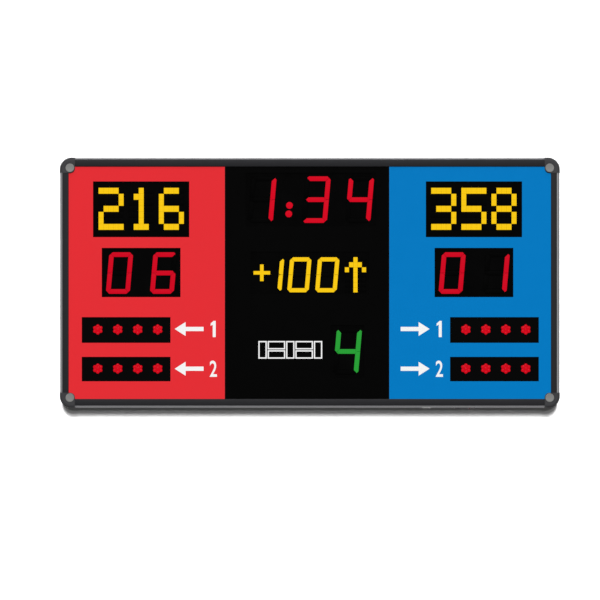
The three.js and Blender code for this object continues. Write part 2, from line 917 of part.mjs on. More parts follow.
function addClockDisplay() {
  const [firstX, colonX, secondX, thirdX] = spread(
    clockWindowX - clockWindowWidth / 2,
    clockWindowX + clockWindowWidth / 2,
    [clockDigitWidth, 2 * colonRadius, clockDigitWidth, clockDigitWidth],
    clockGapShares,
  );
  const digits = [firstX, secondX, thirdX].flatMap((x) =>
    digitBars(x, clockWindowZ, clockDigitWidth, clockDigitHeight, clockStroke),
  );
  const colon = [0, 1].map((step) => {
    const rise = step * colonPitch;
    const z = clockWindowZ - colonDrop + rise;
    return polygon(colonX + digitSlant * rise, z, colonRadius, colonSides);
  });
  addDisplay("clock", windows.clock, [...digits, ...colon], [], [], finishes.redLens);
}

function addWeightDisplay() {
  const unitWidth = matrixWidth(unitPitchX, unitPixelWidth);
  const [signX, halfDigitX, firstX, secondX, unitX] = spread(
    -weightWindowWidth / 2,
    weightWindowWidth / 2,
    [signSpan, weightStroke, weightDigitWidth, weightDigitWidth, unitWidth],
    weightGapShares,
  );
  const z = weightWindowZ + weightDigitsShiftZ;
  const digit = (x) => digitBars(x, z, weightDigitWidth, weightDigitHeight, weightStroke);
  const halfDigit = digit(halfDigitX - (weightDigitWidth - weightStroke) / 2).slice(1, 3);
  const sizes = [unitPitchX, unitPitchZ, unitPixelWidth, unitPixelHeight];
  const sign = plusSign(signX, weightWindowZ, signSpan, signStroke);
  addDisplay(
    "weight",
    windows.weight,
    [...digit(firstX), ...digit(secondX), ...halfDigit],
    [...sign, matrixOutline(unitX, z, ...sizes)],
    [...sign.map(raisedLens), matrixLens(unitX, z, ...sizes)],
    finishes.yellowLens,
  );
}

function addMatDisplay() {
  const x = matWindowX + matDigitShiftX;
  const z = matWindowZ + matDigitShiftZ;
  const bars = digitBars(x, z, clockDigitWidth, clockDigitHeight, clockStroke);
  addDisplay("mat_number", windows.mat, bars, [], [], finishes.greenLens);
}

// Penalty lamps: a lobed lens for each cluster of seven LEDs, soldered to a black board
function lampOutline(x, z) {
  return Array.from({ length: 2 * lampLobes }, (_, i) => {
    const radius = i % 2 ? lampValleyRadius : lampRadius;
    const angle = Math.PI / 2 + (i * Math.PI) / lampLobes;
    return [x + radius * Math.cos(angle), z + radius * Math.sin(angle)];
  });
}

function addPenaltyDisplay(name, centreX, firstWindow, secondWindow) {
  const whole = rectangle(centreX, penaltyZ, penaltyWindowWidth, penaltyHeight);
  const outside = grown(whole, maskMargin);
  const inside = grown(outside, -rimThickness);
  const face = plate(outside, maskFrontY, maskRearY, [firstWindow, secondWindow]);
  const rim = plate(outside, maskRearY - maskThickness / 2, maskRearY + lampRimDepth, [inside]);
  add(`${name}_mask`, join(face, rim), finishes.mask);
  const seat = grown(inside, -seatClearance);
  const boardFrontY = maskRearY + seatClearance;
  const lamps = [firstPenaltyZ, secondPenaltyZ].flatMap((z) =>
    Array.from({ length: lampCount }, (_, i) => {
      const x = centreX + lampShiftX + (i - (lampCount - 1) / 2) * lampPitch;
      return plate(
        lampOutline(x, z + lampShiftZ),
        boardFrontY - lampHeight,
        boardFrontY + boardThickness / 2,
      );
    }),
  );
  const board = circuitBoard(seat, boardFrontY + boardThickness);
  add(`${name}_lamp_board`, join(board, ...lamps), finishes.blackBoard);
}

function buildDisplays() {
  addNameDisplay("red_name", redWindowX, windows.redName);
  addNameDisplay("blue_name", blueWindowX, windows.blueName);
  addScoreDisplay("red_score", redWindowX, windows.redScore);
  addScoreDisplay("blue_score", blueWindowX, windows.blueScore);
  addPenaltyDisplay("red_penalty", redPenaltyX, windows.redFirst, windows.redSecond);
  addPenaltyDisplay("blue_penalty", bluePenaltyX, windows.blueFirst, windows.blueSecond);
  addClockDisplay();
  addWeightDisplay();
  addMatDisplay();
}

// Inner structure and rear

function mullion(x) {
  const end = halfHeight - slotFloor - slotFlangeReach - mullionEndGap;
  const half = mullionWall / 2;
  const rearY = rearPanelFrontY - seatClearance;
  const section = [
    [x - mullionFlange / 2, slotRearY],
    [x + mullionFlange / 2, slotRearY],
    [x + mullionFlange / 2, slotFlangeRearY],
    [x + half, slotFlangeRearY],
    [x + half, rearY - mullionWall],
    [x + mullionRearFlange / 2, rearY - mullionWall],
    [x + mullionRearFlange / 2, rearY],
    [x - mullionRearFlange / 2, rearY],
    [x - mullionRearFlange / 2, rearY - mullionWall],
    [x - half, rearY - mullionWall],
    [x - half, slotFlangeRearY],
    [x - mullionFlange / 2, slotFlangeRearY],
  ];
  const holes = cableHoleZShares.map((share) =>
    block(
      x - mullionWall,
      x + mullionWall,
      slotFlangeRearY + cableHoleInset,
      rearY - mullionWall - cableHoleInset,
      share * halfHeight - cableHoleHeight / 2,
      share * halfHeight + cableHoleHeight / 2,
    ),
  );
  return cut(post(section, -end, end), ...holes);
}

function rearPanel() {
  const x = halfWidth - railWall - rearEdgeGap;
  const z = halfHeight - railWall - rearEdgeGap;
  const cx = x - rearCornerRadius;
  const cz = z - rearCornerRadius;
  const outline = [
    ...arc(cx, cz, rearCornerRadius, 0, 90, edgeSteps),
    ...arc(-cx, cz, rearCornerRadius, 90, 180, edgeSteps),
    ...arc(-cx, -cz, rearCornerRadius, 180, 270, edgeSteps),
    ...arc(cx, -cz, rearCornerRadius, 270, 360, edgeSteps),
  ];
  const doorway = rectangle(0, 0, doorWidth - 2 * doorLap, doorHeight - 2 * doorLap);
  const ventTopZ = mountingOffset - ventRailGap;
  const vents = [-1, 1].flatMap((side) =>
    [-1, 1].flatMap((end) =>
      Array.from({ length: ventRows }, (_, i) =>
        rectangle(side * ventX, end * (ventTopZ - i * ventPitch), ventLength, ventHeight),
      ),
    ),
  );
  const grille = Array.from({ length: hornSlots }, (_, i) => {
    const rise = (i - (hornSlots - 1) / 2) * hornSlotPitch;
    const length = 2 * Math.sqrt(hornMouthRadius ** 2 - rise ** 2) - hornSlotHeight;
    return rectangle(hornX, hornZ + rise, length, hornSlotHeight);
  });
  const sheet = plate(outline, rearPanelFrontY, rearPanelRearY, [doorway, ...vents, ...grille]);
  const beads = beadXShares.map((share) => stiffeningBead(share * halfWidth));
  const pressed = join(sheet, ...beads.map((bead) => bead.raised));
  return cut(pressed, ...beads.map((bead) => bead.hollow));
}

// A bead pressed out of the rear panel: the side that stands up and the hollow behind it
function stiffeningBead(x) {
  const half = beadLength / 2;
  const section = (baseY, rootY) => [
    [x - beadWidth / 2, rootY],
    [x + beadWidth / 2, rootY],
    [x + beadWidth / 2, baseY],
    [x + beadWidth / 2 - beadHeight, baseY + beadHeight],
    [x - beadWidth / 2 + beadHeight, baseY + beadHeight],
    [x - beadWidth / 2, baseY],
  ];
  return {
    raised: post(section(rearPanelRearY, rearPanelRearY - rearSheet / 2), -half, half),
    hollow: post(
      section(rearPanelFrontY, rearPanelFrontY - overrun),
      rearSheet - half,
      half - rearSheet,
    ),
  };
}

function mountingRail(z) {
  const baseY = rearPanelRearY + seatClearance;
  const foot = hatTopWidth / 2 + hatFlange;
  const top = hatTopWidth / 2;
  const section = [
    [baseY, z - foot],
    [baseY, z - top + hatSheet],
    [-hatSheet, z - top + hatSheet],
    [-hatSheet, z + top - hatSheet],
    [baseY, z + top - hatSheet],
    [baseY, z + foot],
    [baseY + hatSheet, z + foot],
    [baseY + hatSheet, z + top],
    [0, z + top],
    [0, z - top],
    [baseY + hatSheet, z - top],
    [baseY + hatSheet, z - foot],
  ];
  const end = halfWidth - returnLip - hatEndGap;
  const slots = wallSlotXShares.map((share) => {
    const outline = obround(share * halfWidth, z, wallSlotLength, wallSlotWidth);
    return plate(outline, -hatSheet - overrun / 2, overrun);
  });
  return cut(bar(section, -end, end), ...slots);
}

// Service door: hinge on the left, two quarter-turn locks on the right

const doorFrontY = rearPanelRearY + seatClearance;
const doorRearY = doorFrontY + doorSheet;
const hingeX = -doorWidth / 2 - hingeAxisGap;
const hingeY = doorFrontY + barrelRadius + barrelLift;
const knuckleLength = hingeHeight / knuckleCount;
const knuckleIndices = Array.from({ length: knuckleCount }, (_, i) => i);

const knuckle = (index) => {
  const bottom = -hingeHeight / 2 + index * knuckleLength + knuckleGap / 2;
  return [bottom, bottom + knuckleLength - knuckleGap];
};

// One knuckle with its wrap, towards +X for the door and towards -X for the fixed leaf
function barrel(index, side, sheet) {
  const [bottom, top] = knuckle(index);
  const wrap = block(
    Math.min(hingeX, hingeX + side * hingeAxisGap * 2),
    Math.max(hingeX, hingeX + side * hingeAxisGap * 2),
    doorFrontY,
    doorFrontY + sheet,
    bottom,
    top,
  );
  const web = post(
    [
      [hingeX, doorFrontY],
      [hingeX + side * hingeAxisGap, doorFrontY],
      [hingeX + side * barrelRadius, hingeY],
      [hingeX, hingeY + barrelRadius / 2],
    ],
    bottom,
    top,
  );
  return join(roundAlongZ(barrelRadius, hingeX, hingeY, bottom, top, barrelSides), wrap, web);
}

const hingeBore = () =>
  roundAlongZ(knuckleBore, hingeX, hingeY, -hingeHeight, hingeHeight, barrelSides);

function serviceDoor() {
  const sheet = plate(rectangle(0, 0, doorWidth, doorHeight), doorFrontY, doorRearY);
  const ribs = [-doorRibZ, doorRibZ].map((z) =>
    block(
      -doorRibLength / 2,
      doorRibLength / 2,
      doorFrontY - doorRibDepth,
      doorFrontY + doorSheet / 2,
      z - doorRibHeight / 2,
      z + doorRibHeight / 2,
    ),
  );
  const odd = knuckleIndices.filter((index) => index % 2);
  const knuckles = odd.map((index) => barrel(index, 1, doorSheet));
  const lockHoles = [-lockZ, lockZ].map((z) =>
    roundAlongY(
      lockShaftRadius + lockClearance,
      doorWidth / 2 - lockInset,
      z,
      doorFrontY - overrun,
      doorRearY + overrun,
      lockSides,
    ),
  );
  return cut(join(sheet, ...ribs, ...knuckles), hingeBore(), ...lockHoles);
}

function hingeLeaf() {
  const right = hingeX - barrelRadius - seatClearance;
  const leaf = plate(
    rectangle(right - leafWidth / 2, 0, leafWidth, hingeHeight),
    doorFrontY,
    doorFrontY + leafSheet,
  );
  const even = knuckleIndices.filter((index) => index % 2 === 0);
  const knuckles = even.map((index) => barrel(index, -1, leafSheet));
  return cut(join(leaf, ...knuckles), hingeBore());
}

function hingePin() {
  const top = hingeHeight / 2 + seatClearance;
  return join(
    roundAlongZ(hingePinRadius, hingeX, hingeY, -hingeHeight / 2, top + hingePinHeadHeight / 2, barrelSides),
    roundAlongZ(hingePinHead, hingeX, hingeY, top, top + hingePinHeadHeight, barrelSides),
  );
}

// A lock turned open: its cam points up, inside the doorway
function doorLock(z) {
  const x = doorWidth / 2 - lockInset;
  const headFrontY = doorRearY + seatClearance;
  const headRearY = headFrontY + lockHeadHeight;
  const camRearY = rearPanelFrontY - camDepthGap;
  const camFrontY = camRearY - camThickness;
  const camTip = camWidth / 2;
  return join(
    roundAlongY(lockHeadRadius, x, z, headFrontY, headRearY, lockSides),
    roundAlongY(lockShaftRadius, x, z, camFrontY, headFrontY + lockHeadHeight / 2, lockSides),
    block(
      x - wingWidth / 2,
      x + wingWidth / 2,
      headFrontY + lockHeadHeight / 2,
      headRearY + wingHeight,
      z - wingLength / 2,
      z + wingLength / 2,
    ),
    plate(
      [
        [x - camWidth / 2, z - camTip],
        [x + camWidth / 2, z - camTip],
        [x + camWidth / 2, z + camReach - camTip],
        ...arc(x, z + camReach - camTip, camTip, 0, 180, edgeSteps).slice(1),
      ],
      camFrontY,
      camRearY,
    ),
  );
}

// Electronics

const trayRearY = trayFrontY + traySheet;

function electronicsTray() {
  const leftX = redJointX + mullionWall / 2 + seatClearance;
  const rightX = blueJointX - mullionWall / 2 - seatClearance;
  const section = [
    [leftX, trayFrontY],
    [rightX, trayFrontY],
    [rightX, trayFrontY + trayFold],
    [rightX - traySheet, trayFrontY + trayFold],
    [rightX - traySheet, trayRearY],
    [leftX + traySheet, trayRearY],
    [leftX + traySheet, trayFrontY + trayFold],
    [leftX, trayFrontY + trayFold],
  ];
  const standoffs = [-1, 1].flatMap((sideX) =>
    [-1, 1].map((sideZ) =>
      roundAlongY(
        standoffRadius,
        controllerX + sideX * (controllerWidth / 2 - standoffInset),
        controllerZ + sideZ * (controllerHeight / 2 - standoffInset),
        trayFrontY + traySheet / 2,
        trayRearY + standoffHeight,
        standoffSides,
      ),
    ),
  );
  return join(post(section, -trayHeight / 2, trayHeight / 2), ...standoffs);
}

// A metal-cased supply with an open strip of screw terminals at its right end
function powerSupply() {
  const left = supplyX - supplyLength / 2;
  const right = supplyX + supplyLength / 2;
  const frontY = trayRearY + seatClearance;
  const rearY = frontY + supplyDepth;
  const bottom = supplyZ - supplyHeight / 2;
  const top = supplyZ + supplyHeight / 2;
  const section = [
    [left, frontY],
    [right, frontY],
    [right, rearY - terminalRecess],
    [right - terminalLength, rearY - terminalRecess],
    [right - terminalLength, rearY],
    [left, rearY],
  ];
  const pitch = (supplyHeight - terminalRib) / terminalCount;
  const floorY = rearY - terminalRecess;
  const ribs = Array.from({ length: terminalCount + 1 }, (_, i) =>
    block(
      right - terminalLength - terminalRib,
      right - terminalRib,
      floorY - terminalRib,
      floorY + terminalDepth,
      bottom + i * pitch,
      bottom + i * pitch + terminalRib,
    ),
  );
  return join(post(section, bottom, top), ...ribs);
}

const controllerRearY = trayRearY + standoffHeight + seatClearance + boardThickness;

// Named chips, blocks and connectors as (left, bottom, width, height, depth) shares of the board
const controllerPartShares = [
  [0.05, 0.08, 0.5, 0.09, 0.075],
  [0.62, 0.08, 0.3, 0.09, 0.075],
  [0.33, 0.4, 0.18, 0.22, 0.018],
  [0.68, 0.42, 0.11, 0.15, 0.018],
  [0.08, 0.34, 0.13, 0.17, 0.1],
  [0.08, 0.62, 0.13, 0.13, 0.06],
];

function controllerBoard() {
  const left = controllerX - controllerWidth / 2;
  const bottom = controllerZ - controllerHeight / 2;
  const outline = rectangle(controllerX, controllerZ, controllerWidth, controllerHeight);
  const parts = controllerPartShares.map(([shareX, shareZ, width, height, depth]) =>
    block(
      left + shareX * controllerWidth,
      left + (shareX + width) * controllerWidth,
      controllerRearY - boardThickness / 2,
      controllerRearY + depth * controllerWidth,
      bottom + shareZ * controllerHeight,
      bottom + (shareZ + height) * controllerHeight,
    ),
  );
  return join(plate(outline, controllerRearY - boardThickness, controllerRearY), ...parts);
}

// A flat ribbon from the controller up over the tray to the back of the clock's board.
// Its path is a chain of (y, z) points, and it ends in a plug on each board.
function ribbonCable() {
  const startZ = controllerZ + controllerHeight / 2 - ribbonPlugHeight;
  const plugRearY = controllerRearY + seatClearance + ribbonPlugDepth;
  const clockY = rimRearY + seatClearance;
  const clockZ = clockWindowZ - ribbonClockDrop;
  const crest = trayHeight / 2 + ribbonTrayGap;
  const bend = ribbonBendShare * (clockZ - ribbonPlugHeight / 2 - crest);
  const y = plugRearY - ribbonThickness;
  const low = clockY + ribbonPlugDepth - ribbonThickness;
  const path = [
    [y, startZ - ribbonPlugHeight / 2],
    [y, crest - ribbonArcDrop],
    [y - (y - low) / 4, crest],
    [low + (y - low) / 4, crest + bend],
    [low, crest + 2 * bend],
    [low, clockZ + ribbonPlugHeight / 2],
  ];
  const outline = [...path, ...path.map(([py, pz]) => [py + ribbonThickness, pz]).reverse()];
  const left = ribbonX - ribbonWidth / 2;
  const right = ribbonX + ribbonWidth / 2;
  const plug = (fromY, z) =>
    block(left, right, fromY, fromY + ribbonPlugDepth, z - ribbonPlugHeight / 2, z + ribbonPlugHeight / 2);
  return join(
    bar(outline, left, right),
    plug(controllerRearY + seatClearance, startZ),
    plug(clockY, clockZ),
  );
}

function horn() {
  const rearY = rearPanelFrontY - seatClearance;
  const profile = [
    [0, rearY - hornDepth],
    [hornBodyRadius * cornerCutShare, rearY - hornDepth],
    [hornBodyRadius, rearY - hornDepth / 2],
    [hornBodyRadius, rearY - hornFlange],
    [hornFlangeRadius, rearY - hornFlange],
    [hornFlangeRadius, rearY],
    [hornMouthRadius, rearY],
    [hornThroatRadius, rearY - hornThroatDepth],
    [0, rearY - hornThroatDepth],
  ].map(([radius, depth]) => new THREE.Vector2(radius, depth));
  return solidOf(new THREE.LatheGeometry(profile, hornSides).translate(hornX, 0, hornZ));
}

// Underside connections

function undersideCutouts() {
  return [
    block(
      inletX - inletBodyWidth / 2 - seatClearance,
      inletX + inletBodyWidth / 2 + seatClearance,
      inletY - inletBodyDepth / 2 - seatClearance,
      inletY + inletBodyDepth / 2 + seatClearance,
      underside - overrun,
      underside + railWall + overrun,
    ),
    roundAlongZ(
      dataBodyRadius + seatClearance,
      dataX,
      inletY,
      underside - overrun,
      underside + railWall + overrun,
      dataSides,
    ),
  ];
}

const inletFaceZ = underside - seatClearance - inletFlangeThickness;

function mainsInlet() {
  const flange = block(
    inletX - inletFlangeWidth / 2,
    inletX + inletFlangeWidth / 2,
    inletY - inletFlangeDepth / 2,
    inletY + inletFlangeDepth / 2,
    inletFaceZ,
    underside - seatClearance,
  );
  const body = block(
    inletX - inletBodyWidth / 2,
    inletX + inletBodyWidth / 2,
    inletY - inletBodyDepth / 2,
    inletY + inletBodyDepth / 2,
    underside - seatClearance - inletFlangeThickness / 2,
    underside + inletBodyHeight,
  );
  const halfSocket = socketWidth / 2;
  const frontY = inletY - socketDepth / 2;
  const rearY = inletY + socketDepth / 2;
  const socket = post(
    [
      [inletX - halfSocket, frontY],
      [inletX + halfSocket, frontY],
      [inletX + halfSocket, rearY - socketCut],
      [inletX + halfSocket - socketCut, rearY],
      [inletX - halfSocket + socketCut, rearY],
      [inletX - halfSocket, rearY - socketCut],
    ],
    inletFaceZ - overrun,
    inletFaceZ + socketReach,
  );
  const blades = [-1, 0, 1].map((place) => {
    const y = inletY + (place ? -bladeOffset : bladeOffset);
    return block(
      inletX + place * bladePitch - bladeWidth / 2,
      inletX + place * bladePitch + bladeWidth / 2,
      y - bladeDepth / 2,
      y + bladeDepth / 2,
      inletFaceZ + socketReach - bladeLength,
      inletFaceZ + socketReach + bladeWidth,
    );
  });
  const drawerPocket = block(
    inletX + drawerX - drawerWidth / 2 - seatClearance,
    inletX + drawerX + drawerWidth / 2 + seatClearance,
    inletY - drawerDepth / 2 - seatClearance,
    inletY + drawerDepth / 2 + seatClearance,
    inletFaceZ - overrun,
    inletFaceZ + drawerReach + seatClearance,
  );
  const rockerPocket = block(
    inletX + rockerX - rockerLength / 2 - rockerClearance,
    inletX + rockerX + rockerLength / 2 + rockerClearance,
    inletY - rockerDepth / 2 - rockerClearance,
    inletY + rockerDepth / 2 + rockerClearance,
    inletFaceZ - overrun,
    inletFaceZ + rockerPocketDepth,
  );
  const half = rockerDepth / 2 + trunnionLength + rockerClearance;
  const trunnionSeat = roundAlongY(
    trunnionRadius + rockerClearance,
    inletX + rockerX,
    inletFaceZ + rockerPivotHeight,
    inletY - half,
    inletY + half,
    barrelSides,
  );
  return join(cut(join(flange, body), socket, drawerPocket, rockerPocket, trunnionSeat), ...blades);
}

// The rocker rests with its right end pressed in, which is on
function powerRocker() {
  const tilt = THREE.MathUtils.degToRad(rockerTilt);
  const half = rockerLength / 2 - 2 * rockerClearance;
  const dip = rockerPivotHeight + rockerRise;
  const cheek = rockerPivotHeight - half * Math.tan(tilt) + rockerRise / 2;
  const profile = [
    [-half, -dip],
    [0, -cheek],
    [half, -dip],
    ...arc(0, 0, rockerRadius, 0, 180, arcSteps),
  ];
  const turned = profile.map(([x, z]) => [
    x * Math.cos(tilt) - z * Math.sin(tilt),
    x * Math.sin(tilt) + z * Math.cos(tilt),
  ]);
  const x = inletX + rockerX;
  const z = inletFaceZ + rockerPivotHeight;
  const body = plate(
    turned.map(([px, pz]) => [x + px, z + pz]),
    inletY - rockerDepth / 2,
    inletY + rockerDepth / 2,
  );
  const end = rockerDepth / 2 + trunnionLength;
  return join(body, roundAlongY(trunnionRadius, x, z, inletY - end, inletY + end, barrelSides));
}

function fuseDrawer() {
  const x = inletX + drawerX;
  const lip = block(
    x - drawerWidth / 2 - drawerLipLap,
    x + drawerWidth / 2 + drawerLipLap,
    inletY - drawerDepth / 2 - drawerLipLap,
    inletY + drawerDepth / 2 + drawerLipLap,
    inletFaceZ - seatClearance - drawerLip,
    inletFaceZ - seatClearance,
  );
  const box = block(
    x - drawerWidth / 2,
    x + drawerWidth / 2,
    inletY - drawerDepth / 2,
    inletY + drawerDepth / 2,
    inletFaceZ - seatClearance - drawerLip / 2,
    inletFaceZ + drawerReach,
  );
  const fuseBay = block(
    x - drawerWidth / 2 + drawerLip,
    x + drawerWidth / 2 - drawerLip,
    inletY - drawerDepth / 2 - overrun,
    inletY + drawerDepth / 2 - drawerLip,
    inletFaceZ + drawerLip,
    inletFaceZ + drawerReach - drawerLip,
  );
  const notch = block(
    x - drawerNotch / 2,
    x + drawerNotch / 2,
    inletY + drawerDepth / 2,
    inletY + drawerDepth / 2 + overrun,
    inletFaceZ - overrun,
    inletFaceZ,
  );
  return cut(join(lip, box), fuseBay, notch);
}

function dataSocket() {
  const faceZ = underside - seatClearance - dataFlangeThickness;
  const flange = block(
    dataX - dataFlange / 2,
    dataX + dataFlange / 2,
    inletY - dataFlange / 2,
    inletY + dataFlange / 2,
    faceZ,
    underside - seatClearance,
  );
  const bodyBottom = faceZ + dataFlangeThickness / 2;
  const body = roundAlongZ(dataBodyRadius, dataX, inletY, bodyBottom, underside + dataBodyHeight, dataSides);
  const boreTop = faceZ + dataBoreDepth;
  const bore = roundAlongZ(dataBoreRadius, dataX, inletY, faceZ - overrun, boreTop, dataSides);
  const pins = Array.from({ length: dataPinCount }, (_, i) => {
    const angle = (i * 2 * Math.PI) / dataPinCount;
    return roundAlongZ(
      dataPinRadius,
      dataX + dataPinCircle * Math.cos(angle),
      inletY + dataPinCircle * Math.sin(angle),
      boreTop - dataPinLength,
      boreTop + dataPinRadius,
      dataPinSides,
    );
  });
  return join(cut(join(flange, body), bore), ...pins);
}

// Points of the harness route, chosen by hand: the share of the way from the terminals to the
// inlet, the share of the case's depth, and the share of the inlet's drop below the middle
const harnessRoute = [
  [1, 0.489, 1],
  [1, 0.494, 0.947],
  [0.974, 0.511, 0.83],
  [0.888, 0.544, 0.703],
  [0.765, 0.556, 0.622],
  [0.623, 0.556, 0.511],
  [0.501, 0.556, 0.434],
  [0.347, 0.556, 0.413],
  [0.173, 0.544, 0.392],
  [0.077, 0.522, 0.315],
  [0.057, 0.489, 0.192],
  [0.054, 0.444, 0.096],
  [0.047, 0.427, 0.053],
  [0.025, 0.4245, 0.034],
  [0, 0.4245, 0.032],
];

function mainsHarness() {
  const terminalX = supplyX + supplyLength / 2 - terminalRib / 2;
  const inletTopZ = underside + inletBodyHeight + seatClearance;
  const points = harnessRoute.map(
    ([way, depth, drop]) =>
      new THREE.Vector3(
        terminalX + way * (inletX - terminalX),
        -depth * caseDepth,
        drop * inletTopZ,
      ),
  );
  const curve = new THREE.CatmullRomCurve3(points, false, "centripetal");
  const section = polygon(0, 0, harnessDiameter / 2, harnessSides);
  const shape = new THREE.Shape(section.map(([x, y]) => new THREE.Vector2(x, y)));
  const settings = { steps: harnessSteps, extrudePath: curve, bevelEnabled: false };
  return solidOf(new THREE.ExtrudeGeometry(shape, settings));
}

function buildRear() {
  add("left_mullion", mullion(redJointX), finishes.zinc);
  add("right_mullion", mullion(blueJointX), finishes.zinc);
  add("rear_panel", rearPanel(), finishes.sheet);
  add("upper_mounting_rail", mountingRail(mountingOffset), finishes.zinc);
  add("lower_mounting_rail", mountingRail(-mountingOffset), finishes.zinc);
  add("service_door", serviceDoor(), finishes.sheet);
  add("hinge_leaf", hingeLeaf(), finishes.steel);
  add("hinge_pin", hingePin(), finishes.steel);
  add("upper_door_lock", doorLock(lockZ), finishes.steel);
  add("lower_door_lock", doorLock(-lockZ), finishes.steel);
}

function buildElectronics() {
  add("electronics_tray", electronicsTray(), finishes.zinc);
  add("power_supply", powerSupply(), finishes.zinc);
  add("controller_board", controllerBoard(), finishes.board);
  add("ribbon_cable", ribbonCable(), finishes.ribbon);
  add("horn", horn(), finishes.moulding);
  add("mains_harness", mainsHarness(), finishes.cable);
  add("mains_inlet", mainsInlet(), finishes.moulding);
  add("power_rocker", powerRocker(), finishes.redLens);
  add("fuse_drawer", fuseDrawer(), finishes.moulding);
  add("data_socket", dataSocket(), finishes.steel);
}

buildFrame();
buildFrontPanels();
buildDisplays();
buildRear();
buildElectronics();

// The origin is the middle of the upper mounting rail, on the wall plane
scoreboard.position.z = -mountingOffset;

export default scoreboard;
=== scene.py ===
"""Looks of a wall-hung electronic scoreboard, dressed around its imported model.

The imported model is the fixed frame. Rigid nodes whose shape is right keep it and get the finish of
the real material, and the frame, lenses, lamps, locks and electronics are replaced by finer
pieces.

Sizes are in millimetres from the middle of the board: X to the viewer's right, Y away from the
viewer and Z up, with the wall plane at Y = 0. Piece.place turns them into metres in the frame.
"""

from __future__ import annotations

import logging
import math
from dataclasses import dataclass
from enum import Enum
from functools import cache
from typing import Any, Callable, Iterable, Protocol, Sequence

import bmesh
import bpy
from mathutils import Matrix, Vector

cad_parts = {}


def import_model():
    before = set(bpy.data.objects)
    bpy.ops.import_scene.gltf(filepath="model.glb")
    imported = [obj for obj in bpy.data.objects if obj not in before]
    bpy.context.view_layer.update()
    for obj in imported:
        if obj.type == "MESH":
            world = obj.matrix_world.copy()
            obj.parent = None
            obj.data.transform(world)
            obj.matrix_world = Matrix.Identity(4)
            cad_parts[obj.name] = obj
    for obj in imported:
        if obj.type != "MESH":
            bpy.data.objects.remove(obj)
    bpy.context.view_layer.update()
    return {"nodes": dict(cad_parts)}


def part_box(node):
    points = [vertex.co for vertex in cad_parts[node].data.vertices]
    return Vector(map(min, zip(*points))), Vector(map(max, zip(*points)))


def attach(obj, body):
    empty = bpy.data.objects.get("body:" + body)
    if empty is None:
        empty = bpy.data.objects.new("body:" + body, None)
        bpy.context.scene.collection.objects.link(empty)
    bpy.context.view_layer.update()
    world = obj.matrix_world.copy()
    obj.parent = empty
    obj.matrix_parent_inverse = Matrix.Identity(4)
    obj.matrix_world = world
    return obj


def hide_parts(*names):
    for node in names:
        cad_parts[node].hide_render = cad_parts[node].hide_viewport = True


LOG = logging.getLogger("scoreboard")
MM = 0.001
# Edges with more than this between their faces stay sharp, or are rounded
SHARP = math.radians(35.0)
# Corners nearer than this are one, and a level is met within it
WELD = 1e-4
# How far print and fittings reach into what carries them, and how near counts as level
INTO = 0.05
# How far a head or a fitted part reaches into its sheet
ROOT = 0.1
AXES = [Vector(axis) for axis in ((1, 0, 0), (0, 1, 0), (0, 0, 1))]
_, Y_AXIS, Z_AXIS = AXES

Point = tuple[float, float]
Outline = Sequence[Point]
# The outline of a lens, and whether it is lit
Lens = tuple[list[Point], bool]
Tree = bpy.types.NodeTree
Socket = bpy.types.NodeSocket


# Outlines and places


def arc(x: float, y: float, radius: float, start: float, end: float, steps: int) -> list[Point]:
    """Points of an arc.

    Args:
        x, y: its centre.
        radius: its radius.
        start, end: first and last angle in degrees.
        steps: number of straight steps.

    Returns:
        One point more than there are steps.
    """
    angles = (math.radians(start + (end - start) * i / steps) for i in range(steps + 1))
    return [(x + radius * math.cos(a), y + radius * math.sin(a)) for a in angles]


def circle(x: float, y: float, radius: float, sides: int) -> list[Point]:
    """Corner points of a regular polygon."""
    return arc(x, y, radius, 0, 360, sides)[:-1]


def rectangle(x: float, y: float, width: float, height: float, corner: float = 0) -> list[Point]:
    """Corner points of a rectangle.

    Args:
        x, y: its centre.
        width, height: its size.
        corner: radius of its corners, if they are round.

    Returns:
        The points in counterclockwise order.
    """
    a, b = width / 2 - corner, height / 2 - corner
    places = [(a, b, 0), (-a, b, 90), (-a, -b, 180), (a, -b, 270)]
    if not corner:
        return [(x + px, y + py) for px, py, _ in places]
    return [p for px, py, turn in places for p in arc(x + px, y + py, corner, turn, turn + 90, 5)]


def spread(
    start: float, end: float, sizes: Sequence[float], shares: Sequence[float]
) -> list[float]:
    """Centres of a row of sizes, where gaps take what the sizes leave free.

    Args:
        start, end: where the row begins and ends.
        sizes: sizes in the order of the row.
        shares: the gap before each size and after the last, as shares of the free length.

    Returns:
        The centre of each size.
    """
    free = end - start - sum(sizes)
    centres = []
    for size, share in zip(sizes, shares):
        start += share * free
        centres.append(start + size / 2)
        start += size
    return centres


def linear(colour: str) -> tuple[float, float, float, float]:
    """Turns an sRGB hex value such as #E53136 into the linear colour that a socket takes."""
    parts = (int(colour[i : i + 2], 16) / 255 for i in (1, 3, 5))
    return (*(c / 12.92 if c <= 0.04045 else ((c + 0.055) / 1.055) ** 2.4 for c in parts), 1.0)


# Materials


def add_node(
    tree: Tree, kind: str, values: dict | None = None, links: dict | None = None, **settings: Any
) -> bpy.types.Node:
    """Adds a node with its settings, socket values and incoming links.

    Args:
        tree: the node tree.
        kind: the node's type name without ShaderNode.
        values: default values by input name or index.
        links: outputs of other nodes by input name or index.
        **settings: properties of the node itself.

    Returns:
        The new node.
    """
    node = tree.nodes.new(f"ShaderNode{kind}")
    for name, value in settings.items():
        setattr(node, name, value)
    for name, value in (values or {}).items():
        node.inputs[name].default_value = value
    for name, socket in (links or {}).items():
        tree.links.new(socket, node.inputs[name])
    return node


